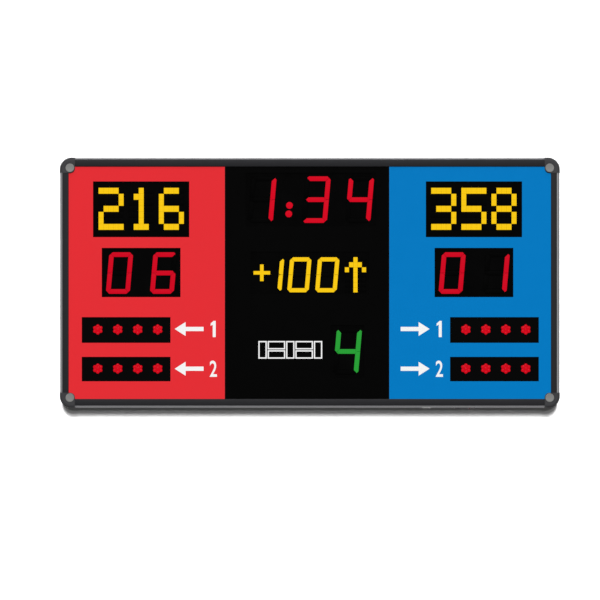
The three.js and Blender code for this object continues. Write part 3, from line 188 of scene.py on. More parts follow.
class Relief(Enum):
    """What a way of making leaves on a surface."""

    GRAIN = "spark-eroded grain of a mould"
    PEEL = "soft waves of a sprayed or powder coat"
    LINES = "die lines along an extrusion, or brushing"
    SPANGLE = "crystals of a zinc coat"
    TRACKS = "copper tracks under solder mask"
    RIBS = "ribs between the wires of a flat cable"
    PRISMS = "small prisms that spread a lamp's light"


@dataclass(frozen=True)
class Finish:
    """A real material and how its surface was made, with lengths in millimetres.

    The grain is the real one, except where a comment says that it is drawn coarser. The tint is a
    second colour that drifts in, and the glow is the colour of a lit lens. The sway is how far the
    roughness drifts, and the spots are how bright a lit lens is over a diode and between two.
    """

    name: str
    colour: str
    roughness: float
    relief: Relief
    grain: float
    depth: float
    metallic: float = 0.0
    specular: float = 0.5
    tint: str = ""
    along: str = "X"
    glow: str = ""
    coat: float = 0.0
    cloud: float = 60.0
    sway: float = 0.15
    bump: float = 0.6
    lamp_pitch: float = 9.0
    spots: tuple[float, float] = (1.08, 0.9)

    def build(self) -> bpy.types.Material:
        """Builds the material.

        Returns:
            The material, which reads Object coordinates only.
        """
        material = bpy.data.materials.new(self.name)
        material.use_nodes = True
        tree = material.node_tree
        shader = tree.nodes["Principled BSDF"].inputs
        shader["Base Color"].default_value = linear(self.colour)
        shader["Metallic"].default_value = self.metallic
        shader["Specular IOR Level"].default_value = self.specular
        shader["Coat Weight"].default_value = self.coat
        place = add_node(tree, "TexCoord").outputs["Object"]
        clouds = add_node(
            tree, "TexNoise", {"Scale": 1 / (self.cloud * MM), "Detail": 3.0}, {"Vector": place}
        ).outputs["Fac"]
        dull, sway = self.roughness, self.sway
        gloss = {"To Min": dull * (1 - sway), "To Max": min(1.0, dull * (1 + sway))}
        drift = add_node(tree, "MapRange", gloss, {"Value": clouds})
        tree.links.new(drift.outputs["Result"], shader["Roughness"])
        if self.tint:
            colours = {6: linear(self.colour), 7: linear(self.tint)}
            mixed = add_node(tree, "Mix", colours, {0: clouds}, data_type="RGBA")
            tree.links.new(mixed.outputs[2], shader["Base Color"])
        if self.glow:
            shader["Emission Strength"].default_value = 1.0
            tree.links.new(self._hot_spots(tree, place), shader["Emission Color"])
        bump = {"Strength": self.bump, "Distance": self.depth * MM}
        relief = add_node(tree, "Bump", bump, {"Height": self._height(tree, place)})
        tree.links.new(relief.outputs["Normal"], shader["Normal"])
        return material

    def _hot_spots(self, tree: Tree, place: Socket) -> Socket:
        """Lets a lit lens glow a little more over each of the diodes behind it.

        Args:
            tree: the material's nodes.
            place: the Object coordinates.

        Returns:
            The colour of the light.
        """
        flat = add_node(tree, "Mapping", {"Scale": (1, 0, 1)}, {"Vector": place})
        grid = {"Scale": 1 / (self.lamp_pitch * MM), "Randomness": 0.0}
        cells = add_node(tree, "TexVoronoi", grid, {"Vector": flat.outputs["Vector"]})
        red, green, blue, _ = linear(self.glow)
        shades = {6 + i: (red * k, green * k, blue * k, 1.0) for i, k in enumerate(self.spots)}
        mixed = add_node(tree, "Mix", shades, {0: cells.outputs["Distance"]}, data_type="RGBA")
        return mixed.outputs[2]

    def _height(self, tree: Tree, place: Socket) -> Socket:
        """Adds the texture of the relief.

        Args:
            tree: the material's nodes.
            place: the Object coordinates.

        Returns:
            The height of the surface, from 0 to 1.
        """
        scale = 1 / (self.grain * MM)
        relief = self.relief
        if relief is Relief.LINES:
            stretch = [0.01 if axis == self.along else 1 for axis in "XYZ"]
            place = add_node(tree, "Mapping", {"Scale": stretch}, {"Vector": place}).outputs[0]
        vector = {"Vector": place}
        if relief in (Relief.SPANGLE, Relief.TRACKS):
            kind = "MANHATTAN" if relief is Relief.TRACKS else "EUCLIDEAN"
            cells = add_node(tree, "TexVoronoi", {"Scale": scale}, vector, distance=kind)
            return cells.outputs["Distance"]
        if relief in (Relief.RIBS, Relief.PRISMS):
            way = "X" if relief is Relief.RIBS else "DIAGONAL"
            # At a scale of 1 the bands are pi / 10 apart
            bands = {"Scale": scale * math.pi / 10, "Distortion": 0.0}
            return add_node(tree, "TexWave", bands, vector, bands_direction=way).outputs["Fac"]
        waves = {"Scale": scale, "Detail": 1.0 if relief is Relief.PEEL else 4.0}
        return add_node(tree, "TexNoise", waves, vector).outputs["Fac"]


FINISHES = [
    # Anodised extrusion: satin, with faint die lines along it, drawn at 1.5 mm where the real ones
    # are 0.3 mm. It is black on its face and clear on its edge, which shows the bare metal
    *(
        Finish(
            f"{name}_aluminium_along_{way.lower()}", colour, gloss, Relief.LINES, 1.5, 0.03,
            metal, specular, along=way,
        )
        for way in "XZ"
        for name, colour, gloss, metal, specular in (
            ("black", "#1F1F21", 0.45, 0.3, 0.04),
            ("natural", "#7A7A7C", 0.42, 0.8, 0.5),
        )
    ),
    # Moulded polyamide: an even eroded grain, drawn at 1 mm where the real one is 0.2 mm
    Finish("polyamide_cap_moulded", "#2F2F31", 0.6, Relief.GRAIN, 1.0, 0.05, 0, 0.15, "#363638"),
    # Moulded polyethylene: waxy and a little uneven in colour, its grain drawn at 1.6 mm for 0.2 mm
    Finish("polyethylene_plug_moulded", "#767674", 0.5, Relief.GRAIN, 1.6, 0.04, 0, 0.2, "#7E7E7C"),
    # Screen-printed polycarbonate: flat colour under a matt coat with soft waves
    Finish("red_printed_sheet", "#E42B32", 0.5, Relief.PEEL, 9.0, 0.05, 0, 0.03, "#E12D34"),
    Finish("black_printed_sheet", "#020202", 0.6, Relief.PEEL, 9.0, 0.05, 0, 0.01, "#030303"),
    Finish("blue_printed_sheet", "#0079C1", 0.5, Relief.PEEL, 9.0, 0.05, 0, 0.02, "#0077BE"),
    # Screen ink: chalky and slightly raised
    Finish("white_ink_printed", "#F4F4F4", 0.6, Relief.PEEL, 4.0, 0.02, 0, 0.05),
    # Moulded black polycarbonate: a dull grain, drawn at 1 mm, that swallows light round the digits
    Finish("black_polycarbonate_moulded", "#020202", 0.75, Relief.GRAIN, 1.0, 0.06, 0, 0.015),
    # Smoked lens: looks black while its lamps are off
    Finish("smoked_acrylic_moulded", "#020202", 0.65, Relief.PRISMS, 2.5, 0.02, 0, 0.01),
    # Lit lens: its moulded prisms even out the light of the lamps behind it
    *(
        Finish(f"{name}_lens_lit", colour, 0.5, Relief.PRISMS, 2.5, 0.05, 0, 0.012, glow=glow)
        for name, colour, glow in (
            ("red_clock", "#0C0002", "#D20820"),
            ("red_score", "#0C0002", "#CC0820"),
            ("yellow", "#141002", "#F7C712"),
            ("green", "#020C04", "#289B35"),
        )
    ),
    # Cast epoxy of a lit diode: a clear dome that glows over its chip. The reflector cups round the
    # diodes glow in it too, as painted light
    Finish(
        "red_diode_epoxy_and_painted_glow", "#180002", 0.22, Relief.PEEL, 6.0, 0.01, 0, 0.04, glow="#CC0418"
    ),
    # Solder mask on laminate: a glossy film that sinks between the copper tracks, which are drawn
    # 6 mm apart where the real ones are 1 mm
    Finish("green_solder_mask", "#12512C", 0.35, Relief.TRACKS, 6.0, 0.05, tint="#176036"),
    Finish("black_solder_mask", "#020202", 0.6, Relief.TRACKS, 6.0, 0.04, 0, 0.012, "#040404"),
    # Powder coat on steel: dark grey with the orange skin of a cured powder
    Finish("grey_powder_coat", "#2E3033", 0.5, Relief.PEEL, 2.2, 0.08, 0, 0.4, "#323538"),
    # Zinc plate: pale metal with a faint pattern of crystals
    Finish("zinc_plated_steel", "#A8ABAC", 0.4, Relief.SPANGLE, 9.0, 0.03, 1, tint="#B4B5B0"),
    # Nickel plate: bright and smooth, with a warm tone
    Finish("nickel_plated_steel", "#BEBEBA", 0.24, Relief.GRAIN, 3.0, 0.02, 1),
    # Brushed aluminium sheet: scratches that draw the highlight out, drawn at 0.8 mm for 0.1 mm
    Finish("aluminium_sheet_brushed", "#AEB0B2", 0.36, Relief.LINES, 0.8, 0.02, 1),
    # Moulded polyamide of sockets and connectors: a dull grain, drawn at 0.8 mm for 0.2 mm. It also
    # paints the shade in the cross of each screw and in the supply's vent holes
    Finish("black_polyamide_and_painted_shade", "#17171A", 0.55, Relief.GRAIN, 0.8, 0.04, 0, 0.35),
    Finish("polyamide_ivory_moulded", "#D8D4C4", 0.5, Relief.GRAIN, 0.8, 0.03),
    # Shrunk sleeve of a capacitor: thin glossy film
    Finish("blue_sleeve_shrunk", "#27408C", 0.4, Relief.GRAIN, 2.0, 0.02),
    # Extruded cable sheath: dull, with faint lines along its run, drawn at 1.2 mm for 0.3 mm
    Finish("pvc_cable_extruded", "#141416", 0.6, Relief.LINES, 1.2, 0.03, 0, 0.3),
    # Flat cable: a rib for each wire, drawn at 2 mm where the real pitch is 1.27 mm
    Finish("flat_cable_extruded", "#8A8E96", 0.55, Relief.RIBS, 2.0, 0.3, tint="#989CA4"),
    # Moulded rocker: glossy red that a neon lamp lights from inside
    Finish("red_polycarbonate_moulded", "#B4101C", 0.25, Relief.PEEL, 5.0, 0.02, coat=0.2),
]


@cache
def material(name: str) -> bpy.types.Material:
    """The material of a finish, built when a piece first asks for it."""
    return next(finish for finish in FINISHES if finish.name == name).build()


# Shapes and pieces


class Shape:
    """One closed shape in a bmesh of its own, in millimetres."""

    def __init__(self) -> None:
        """Starts with an empty mesh."""
        self.mesh = bmesh.new()

    def loop(self, points: Iterable[Sequence[float]]) -> list[bmesh.types.BMEdge]:
        """Adds a closed loop of edges through points."""
        verts = [self.mesh.verts.new(point) for point in points]
        return [self.mesh.edges.new(pair) for pair in zip(verts, verts[1:] + verts[:1])]

    def filled(self, edges: list[bmesh.types.BMEdge], normal: Vector) -> None:
        """Fills an outline between its outer loop and its holes.

        Args:
            edges: the edges of all its loops.
            normal: the way its faces look.
        """
        bmesh.ops.triangle_fill(
            self.mesh, use_beauty=True, use_dissolve=False, edges=edges, normal=normal
        )

    def thickened(self, along: Vector) -> Shape:
        """Extrudes the flat faces of the mesh.

        Args:
            along: the way and length of the extrusion.

        Returns:
            The shape itself.
        """
        grown = bmesh.ops.extrude_face_region(self.mesh, geom=self.mesh.faces[:])
        moved = [item for item in grown["geom"] if isinstance(item, bmesh.types.BMVert)]
        bmesh.ops.translate(self.mesh, vec=along, verts=moved)
        return self.outward()

    @classmethod
    def extruded(
        cls, outline: Iterable[Sequence[float]], along: Vector, holes: Iterable[Iterable] = ()
    ) -> Shape:
        """Extrudes a flat outline.

        Args:
            outline: corner points in space, in order.
            along: the way and length of the extrusion.
            holes: outlines of holes in the same plane.

        Returns:
            The closed shape.
        """
        shape = cls()
        edges = [edge for points in (outline, *holes) for edge in shape.loop(points)]
        if holes:
            shape.filled(edges, along.normalized())
        else:
            shape.mesh.faces.new(shape.mesh.verts[:])
        return shape.thickened(along)

    @classmethod
    def plate(
        cls,
        outline: Outline,
        start: float,
        end: float,
        holes: Iterable[Outline] = (),
        axis: int = 1,
    ) -> Shape:
        """Extrudes an outline from one level of an axis to another.

        Args:
            outline: its points, in the other two axes.
            start, end: the two levels.
            holes: outlines of holes.
            axis: 0, 1 or 2 for X, Y or Z.

        Returns:
            The closed shape.
        """
        flat, *lifted = [
            [(*point[:axis], start, *point[axis:]) for point in points]
            for points in (outline, *holes)
        ]
        return cls.extruded(flat, AXES[axis] * (end - start), lifted)

    @classmethod
    def block(cls, low: Sequence[float], high: Sequence[float]) -> Shape:
        """A box between two corners.

        Args:
            low, high: its lowest and its highest corner.

        Returns:
            The closed box.
        """
        shape, low, high = cls(), Vector(low), Vector(high)
        place = Matrix.Translation((low + high) / 2) @ Matrix.Diagonal((*(high - low), 1))
        bmesh.ops.create_cube(shape.mesh, size=1, matrix=place)
        return shape

    @classmethod
    def lofted(cls, sections: Iterable[Iterable[Sequence[float]]]) -> Shape:
        """Bridges closed sections, one after another, and closes both ends.

        Args:
            sections: the points of each section, the same number in all of them.

        Returns:
            The closed shape.
        """
        shape = cls()
        rings = [shape.loop(section) for section in sections]
        for ring, following in zip(rings, rings[1:]):
            bmesh.ops.bridge_loops(shape.mesh, edges=ring + following)
        bmesh.ops.holes_fill(shape.mesh, edges=rings[0] + rings[-1], sides=0)
        return shape.outward()

    @classmethod
    def turned(
        cls, profile: Outline, centre: Sequence[float], steps: int, axis: Vector = Y_AXIS
    ) -> Shape:
        """Spins a profile round an axis.

        Args:
            profile: (radius, distance along the axis) points, from the axis back to it.
            centre: a point on the axis, from which the distances count.
            steps: number of steps in the turn.
            axis: unit vector along the axis.

        Returns:
            The closed shape.
        """
        shape, centre = cls(), Vector(centre)
        side = Vector((axis.y, axis.z, axis.x))
        verts = [shape.mesh.verts.new(centre + side * r + axis * reach) for r, reach in profile]
        edges = [shape.mesh.edges.new(pair) for pair in zip(verts, verts[1:])]
        bmesh.ops.spin(
            shape.mesh, geom=verts + edges, cent=centre, axis=axis, angle=math.tau, steps=steps,
            use_merge=True, use_duplicate=False,
        )
        bmesh.ops.remove_doubles(shape.mesh, verts=shape.mesh.verts[:], dist=WELD)
        return shape.outward()

    @classmethod
    def swept(cls, points: Sequence[Vector], radius: float, sides: int, steps: int) -> Shape:
        """A round tube along a smooth curve.

        Args:
            points: points that the curve passes.
            radius: radius of the tube.
            sides: corners of its section.
            steps: steps between two points.

        Returns:
            The closed tube.
        """
        ends = [2 * points[0] - points[1], *points, 2 * points[-1] - points[-2]]
        path = []
        for before, start, end, after in zip(ends, ends[1:], ends[2:], ends[3:]):
            bend = 2 * before - 5 * start + 4 * end - after
            turn = 3 * start - before - 3 * end + after
            for t in (i / steps for i in range(steps)):
                path.append(0.5 * (2 * start + (end - before) * t + bend * t**2 + turn * t**3))
        path.append(points[-1])
        normal = (path[1] - path[0]).orthogonal()
        rings = []
        for i, place in enumerate(path):
            along = (path[min(i + 1, len(path) - 1)] - path[max(i - 1, 0)]).normalized()
            normal = (normal - along * normal.dot(along)).normalized()
            across = along.cross(normal)
            rings.append([place + normal * a + across * b for a, b in circle(0, 0, radius, sides)])
        return cls.lofted(rings)

    def pierced(self, levels: Sequence[float], holes: Iterable[Outline]) -> Shape:
        """Cuts openings through a level wall.

        Args:
            levels: heights of the wall's two faces.
            holes: outlines of the openings, as (x, y) points.

        Returns:
            The shape itself.
        """
        rims = []
        for level in levels:
            flat = [f for f in self.mesh.faces if all(abs(v.co.z - level) < WELD for v in f.verts)]
            wall = max(flat, key=lambda face: face.calc_area())
            edges = list(wall.edges)
            self.mesh.faces.remove(wall)
            loops = [self.loop((x, y, level) for x, y in hole) for hole in holes]
            self.filled(edges + sum(loops, []), Z_AXIS)
            rims.append(loops)
        for one, other in zip(*rims):
            bmesh.ops.bridge_loops(self.mesh, edges=one + other)
        return self.outward()

    def outward(self) -> Shape:
        """Turns all faces outwards."""
        bmesh.ops.recalc_face_normals(self.mesh, faces=self.mesh.faces[:])
        return self

    def bevelled(
        self,
        width: float,
        segments: int = 2,
        where: Callable[[bmesh.types.BMEdge], bool] = lambda _: True,
    ) -> Shape:
        """Rounds the sharp edges that a test picks.

        Args:
            width: width of the rounding.
            segments: steps across it.
            where: test of an edge.

        Returns:
            The shape itself.
        """
        edges = [e for e in self.mesh.edges if e.calc_face_angle(0.0) > SHARP and where(e)]
        bmesh.ops.bevel(
            self.mesh, geom=edges, offset=width, segments=segments, profile=0.5, affect="EDGES",
            clamp_overlap=True, material=-1,
        )
        return self

    def painted(self, index: int, where: Callable[[Vector], bool] = lambda _: True) -> Shape:
        """Gives the faces that a test picks one of the piece's finishes.

        Args:
            index: the index of the finish.
            where: test of a face's centre.

        Returns:
            The shape itself.
        """
        for face in self.mesh.faces:
            if where(face.calc_center_median()):
                face.material_index = index
        return self

    def transformed(self, matrix: Matrix) -> Shape:
        """Moves or turns the shape."""
        bmesh.ops.transform(self.mesh, matrix=matrix, verts=self.mesh.verts[:])
        return self


def at_depth(
    depth: float, centre: Point = (0, 0), reach: float = math.inf
) -> Callable[[bmesh.types.BMEdge], bool]:
    """A test for edges that lie in the plane of a depth.

    Args:
        depth: the depth.
        centre: an (x, z) point.
        reach: how near to the centre both ends of an edge have to be.

    Returns:
        The test.
    """
    return lambda edge: all(
        abs(vert.co.y - depth) < INTO and math.dist(vert.co.xz, centre) < reach
        for vert in edge.verts
    )


class Piece:
    """A named object made of shapes, each with one of the piece's finishes."""

    middle = 0.0

    def __init__(self, name: str, *finishes: str) -> None:
        """Starts an empty piece.

        Args:
            name: its name.
            *finishes: the names of its finishes, in the order of their indices.
        """
        self.name = name
        self.finishes = finishes
        self.mesh = bmesh.new()

    def add(self, shape: Shape, index: int | None = 0) -> Piece:
        """Adds a shape, which is used up.

        Args:
            shape: the shape.
            index: the index of its finish, or None to keep what it is painted with.

        Returns:
            The piece itself.
        """
        if index is not None:
            shape.painted(index)
        part = bpy.data.meshes.new("part")
        shape.mesh.to_mesh(part)
        shape.mesh.free()
        self.mesh.from_mesh(part)
        bpy.data.meshes.remove(part)
        return self

    def place(self, body: str, slot: str = "", replaces: Sequence[str] = ()) -> None:
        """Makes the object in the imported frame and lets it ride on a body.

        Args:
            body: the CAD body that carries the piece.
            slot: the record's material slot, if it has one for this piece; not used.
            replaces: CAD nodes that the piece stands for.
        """
        metres = Matrix.Translation((0, 0, Piece.middle * MM)) @ Matrix.Diagonal((MM, MM, MM, 1))
        bmesh.ops.transform(self.mesh, matrix=metres, verts=self.mesh.verts[:])
        mesh = bpy.data.meshes.new(self.name)
        self.mesh.to_mesh(mesh)
        self.mesh.free()
        mesh.shade_smooth()
        mesh.set_sharp_from_angle(angle=SHARP)
        for finish in self.finishes:
            mesh.materials.append(material(finish))
        made = bpy.data.objects.new(self.name, mesh)
        bpy.context.scene.collection.objects.link(made)
        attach(made, body)
        if replaces:
            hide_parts(*replaces)
        LOG.info("made %s on %s", self.name, body)


@dataclass
class Datum:
    """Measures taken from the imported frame, in millimetres from the middle of the board."""

    nodes: dict[str, bpy.types.Object]

    def __post_init__(self) -> None:
        """Finds the middle of the board and hands it to the pieces."""
        low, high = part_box("left_rail")
        Piece.middle = (low.z + high.z) / 2 / MM

    def box(self, node: str) -> tuple[Vector, Vector]:
        """Measures a node.

        Args:
            node: its name.

        Returns:
            Its lowest and its highest corner.
        """
        lift = Vector((0, 0, Piece.middle))
        low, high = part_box(node)
        return low / MM - lift, high / MM - lift

    def face(self, node: str, corner: float = 0) -> list[Point]:
        """Outline of a node seen from the front.

        Args:
            node: its name.
            corner: radius of its corners, if they are round.

        Returns:
            The outline, as (x, z) points.
        """
        low, high = self.box(node)
        middle, size = (low + high) / 2, high - low
        return rectangle(middle.x, middle.z, size.x, size.z, corner)

    def dress(self, finish: str, *nodes: str) -> None:
        """Gives CAD nodes a finish in place of their plain one.

        Args:
            finish: the name of the finish.
            *nodes: the names of the nodes.
        """
        for node in nodes:
            materials = self.nodes[node].data.materials
            materials.clear()
            materials.append(material(finish))
            LOG.info("dressed %s in %s", node, finish)


# Frame


@dataclass
class CaseFrame:
    """The extruded rails, the moulded corner caps and their plugs."""

    datum: Datum
    # Each rail's name, its side, its axis across, and how far in the bare metal of its edge shows.
    # The real band is alike on all four rails; these widths differ by side as painted light and
    # shade, narrowest on the top and widest on the right
    rails: tuple[tuple[str, int, int, float], ...] = (
        ("top", 1, 2, 5.5),
        ("bottom", -1, 2, 8.0),
        ("left", -1, 0, 9.0),
        ("right", 1, 0, 11.0),
    )
    depth: float = 90.0
    face: float = 35.0
    edge_radius: float = 11.0
    inner_radius: float = 1.2
    wall: float = 2.5
    lip: float = 8.0
    front_lip: float = 3.0
    slot_floor: float = 25.0
    slot_flange: float = 33.0
    flange_wall: float = 2.0
    slot_rear: float = -83.3
    web_rear: float = -64.0
    seat_reach: float = 18.0
    seat_front: float = -24.3
    seat_rear: float = -22.3
    inlet_opening: tuple[float, float] = (82.6, 27.1)
    socket_opening: float = 12.3

    def build(self) -> None:
        """Makes the rails, caps and plugs."""
        for rail in self.rails:
            self._rail(*rail)
        for up, row in ((1, "top"), (-1, "bottom")):
            for out, end in ((-1, "left"), (1, "right")):
                CornerCap(self.datum, f"{row}_{end}", out, up).build()

    def profile(self) -> list[Point]:
        """The rail's section.

        Returns:
            Its (distance in from the outer edge, depth) points.
        """
        inner, outer = self.inner_radius, self.edge_radius
        flange, front = self.slot_rear + self.flange_wall, self.front_lip - self.depth
        return [
            *arc(self.face - inner, inner - self.depth, inner, 0, -90, 4),
            *arc(outer, outer - self.depth, outer, -90, -180, 12),
            (0, 0),
            (self.lip, 0),
            (self.lip, -self.wall),
            (self.wall, -self.wall),
            (self.wall, self.seat_rear),
            (self.seat_reach, self.seat_rear),
            (self.seat_reach, self.seat_front),
            (self.wall, self.seat_front),
            (self.wall, self.web_rear),
            (self.slot_floor, self.web_rear),
            (self.slot_floor, flange),
            (self.slot_flange, flange),
            (self.slot_flange, self.slot_rear),
            (self.slot_floor, self.slot_rear),
            (self.slot_floor, front),
            (self.face, front),
        ]

    def _rail(self, name: str, side: int, axis: int, bare_band_and_painted_light: float) -> None:
        """Makes one rail, black on its face and uncoated metal on its rounded edge and outside, in a
        band whose width per side is painted light and shade.

        Args:
            name: top, bottom, left or right.
            side: 1 for the top and right, -1 for the others.
            axis: 2 where the rail lies, 0 where it stands.
            bare_band_and_painted_light: how far in from the outer edge the uncoated metal shows,
                which differs by side as painted light and shade.
        """
        node = f"{name}_rail"
        low, high = self.datum.box(node)
        outer = (high if side > 0 else low)[axis]
        section = [(outer - side * inward, depth) for inward, depth in self.profile()]
        if axis:
            rail = Shape.plate([point[::-1] for point in section], low.x, high.x, axis=0)
        else:
            rail = Shape.plate(section, low.z, high.z, axis=2)
        if name == "bottom":
            rail.pierced((outer, outer + self.wall), self._openings())
        # The light band is wider or narrower by side as painted light and shade; the real profile is
        # alike on all four rails
        rail.painted(1, lambda centre: abs(outer - centre[axis]) < bare_band_and_painted_light)
        along = "x" if axis else "z"
        metals = [f"{colour}_aluminium_along_{along}" for colour in ("black", "natural")]
        piece = Piece(f"{node}_extrusion", *metals)
        piece.add(rail, None).place("case", "frame_aluminium", [node])

    def _openings(self) -> list[list[Point]]:
        """Openings in the bottom rail.

        Returns:
            The outlines of those for the mains inlet and the data socket.
        """
        inlet, socket = (
            sum(self.datum.box(node), Vector()) / 2 for node in ("mains_inlet", "data_socket")
        )
        return [
            rectangle(inlet.x, inlet.y, *self.inlet_opening),
            circle(socket.x, socket.y, self.socket_opening, 24),
        ]


@dataclass
class CornerCap:
    """A moulded corner cap with its plug, drawn as distances in from the corner."""

    datum: Datum
    name: str
    out: int
    up: int
    arm: float = 60.0
    radius: float = 47.5
    proud: float = 1.5
    front: float = -92.4
    sheet: float = 2.1
    rounding: float = 12.0
    wall: float = 4.0
    wrap: float = 1.2
    mouth: float = 49.7
    mouth_rounding: float = 0.5
    lap: float = 0.2
    steps: int = 14
    boss_rear: float = -87.3
    boss_radius: float = 19.5
    boss_rounding: float = 0.9
    gap: float = 0.3
    recess: float = 1.2
    plug_radius: float = 17.5
    plug_proud: float = 1.2
    plug_rounding: float = 1.5
    # The plug's shallow dish round the mark of its gate, as (radius, drop) points
    plug_dish: Outline = ((0, 0.7), (1.4, 0.7), (1.7, 0.4), (12.6, 0.3), (14.0, 0))

    def build(self) -> None:
        """Makes the cap, as a face with its boss and recess and a wall round the corner."""
        centre, radius = self.arm - self.boss_radius, self.boss_radius
        front, rear, hole = self.front, self.front + self.sheet, self.plug_radius + self.gap
        (middle,) = self._placed([(centre, centre)])
        outline = self._edge(self.rounding - self.lap, self.arm)
        outline += arc(centre, centre, radius, 90, 0, self.steps)
        holes = [self._placed(circle(centre, centre, hole, 40))]
        face = Shape.plate(self._placed(outline), front, rear, holes)
        face.bevelled(self.boss_rounding, 3, at_depth(front, middle, radius + INTO))
        over = CaseFrame.face + self.gap
        reach = math.degrees(math.asin((centre - over) / radius))
        skirt = [(over, over), *arc(centre, centre, radius, 90 + reach, -reach, 16)]
        floor = circle(centre, centre, hole + self.lap, 40)
        shell = self._edge(self.wrap - self.lap, self.mouth)
        shell += self._edge(self.wall, self.mouth)[::-1]
        wall = Shape.plate(self._placed(shell), front + self.rounding, 0)
        piece = Piece(f"{self.name}_cap_moulding", "polyamide_cap_moulded")
        piece.add(face)
        piece.add(Shape.plate(self._placed(skirt), rear - self.sheet / 2, self.boss_rear))
        piece.add(Shape.plate(self._placed(floor), front + self.recess, rear - INTO))
        piece.add(self._rim())
        piece.add(wall.bevelled(self.mouth_rounding, 2, at_depth(0)))
        piece.place("case", "corner_plastic", [f"{self.name}_corner_cap"])
        self._plug(*middle)

    def _placed(self, points: Outline) -> list[Point]:
        """Turns distances in from the corner into places on the board.

        Args:
            points: distances in from the board's side and from its top or bottom.

        Returns:
            The (x, z) points.
        """
        half_x = self.datum.box("right_rail")[1].x
        half_z = self.datum.box("top_rail")[1].z
        return [(self.out * (half_x - p), self.up * (half_z - q)) for p, q in points]

    def _edge(self, inset: float, arm: float) -> list[Point]:
        """The cap's outer edge, set in by a little.

        Args:
            inset: how far it is set in.
            arm: how far it runs along each rail.

        Returns:
            Its points, as distances in from the corner.
        """
        centre = self.radius - self.proud
        round_part = arc(centre, centre, self.radius - inset, -90, -180, self.steps)
        return [(arm, inset - self.proud), *round_part, (inset - self.proud, arm)]

    def _rim(self) -> Shape:
        """The cap's rounded edge: one section that follows the corner, from arm to arm.

        Returns:
            The closed shape.
        """
        front, soft, wrap = self.front, self.rounding, self.wrap
        section = [
            (0, 0),
            *arc(soft, front + soft, soft, 180, 270, 7),
            (soft, front + self.sheet),
            *arc(soft, front + soft, soft - wrap, 255, 180, 6),
            (wrap, 0),
        ]
        outer, inner = (self._placed(self._edge(inset, self.arm)) for inset in (0, 1))
        return Shape.lofted(
            [(x + (to_x - x) * d, y, z + (to_z - z) * d) for d, y in section]
            for (x, z), (to_x, to_z) in zip(outer, inner)
        )

    def _plug(self, x: float, z: float) -> None:
        """Makes a plug: a shallow dish with a rounded rim and the mark of its gate.

        Args:
            x, z: its middle.
        """
        front, rear = self.front - self.plug_proud, self.front + self.recess - self.gap
        radius, rounding = self.plug_radius, self.plug_rounding
        profile = [(reach, front + drop) for reach, drop in self.plug_dish]
        profile += arc(radius - rounding, front + rounding, rounding, -90, 0, 5)
        profile += [(radius, rear), (0, rear)]
        piece = Piece(f"{self.name}_plug_moulding", "polyethylene_plug_moulded")
        piece.add(Shape.turned(profile, (x, 0, z), 48))
        piece.place("case", "plug_plastic", [f"{self.name}_corner_plug"])


# Signs that the displays show


class Bar(Enum):
    """The bars of a seven-segment digit."""

    TOP = 0
    UPPER_RIGHT = 1
    LOWER_RIGHT = 2
    BOTTOM = 3
    LOWER_LEFT = 4
    UPPER_LEFT = 5
    MIDDLE = 6


UPRIGHTS = {1: (Bar.UPPER_RIGHT, Bar.LOWER_RIGHT), -1: (Bar.UPPER_LEFT, Bar.LOWER_LEFT)}
NUMERAL_BARS = {
    "0": set(Bar) - {Bar.MIDDLE},
    "1": {Bar.UPPER_RIGHT, Bar.LOWER_RIGHT},
    "3": set(Bar) - {Bar.UPPER_LEFT, Bar.LOWER_LEFT},
    "4": {Bar.UPPER_LEFT, Bar.MIDDLE, Bar.UPPER_RIGHT, Bar.LOWER_RIGHT},
    "6": set(Bar) - {Bar.UPPER_RIGHT},
}

# Lit pixels of the dot matrices, five columns by seven rows
MATRIX_ROWS = {
    "1": "..#.. .##.. ..#.. ..#.. ..#.. ..#.. .###.",
    "2": "####. ....# ....# .###. #.... #.... #####",
    "3": "####. ....# ....# .###. ....# ....# ####.",
    "5": "##### #.... #.... ####. ....# ....# ####.",
    "6": ".###. #.... #.... ####. #...# #...# .###.",
    "8": ".###. #...# #...# .###. #...# #...# .###.",
    "arrow": "..#.. .###. #.#.# ..#.. ..#.. ..#.. ..#..",
}


class Sign(Protocol):
    """Something that a display shows."""

    width: float

    def lenses(self, x: float, z: float, text: str) -> list[Lens]:
        """The sign's lenses.

        Args:
            x, z: the sign's middle.
            text: what it says, if it can say more than one thing.

        Returns:
            The outline of each lens, as (x, z) points, and whether it is lit.
        """


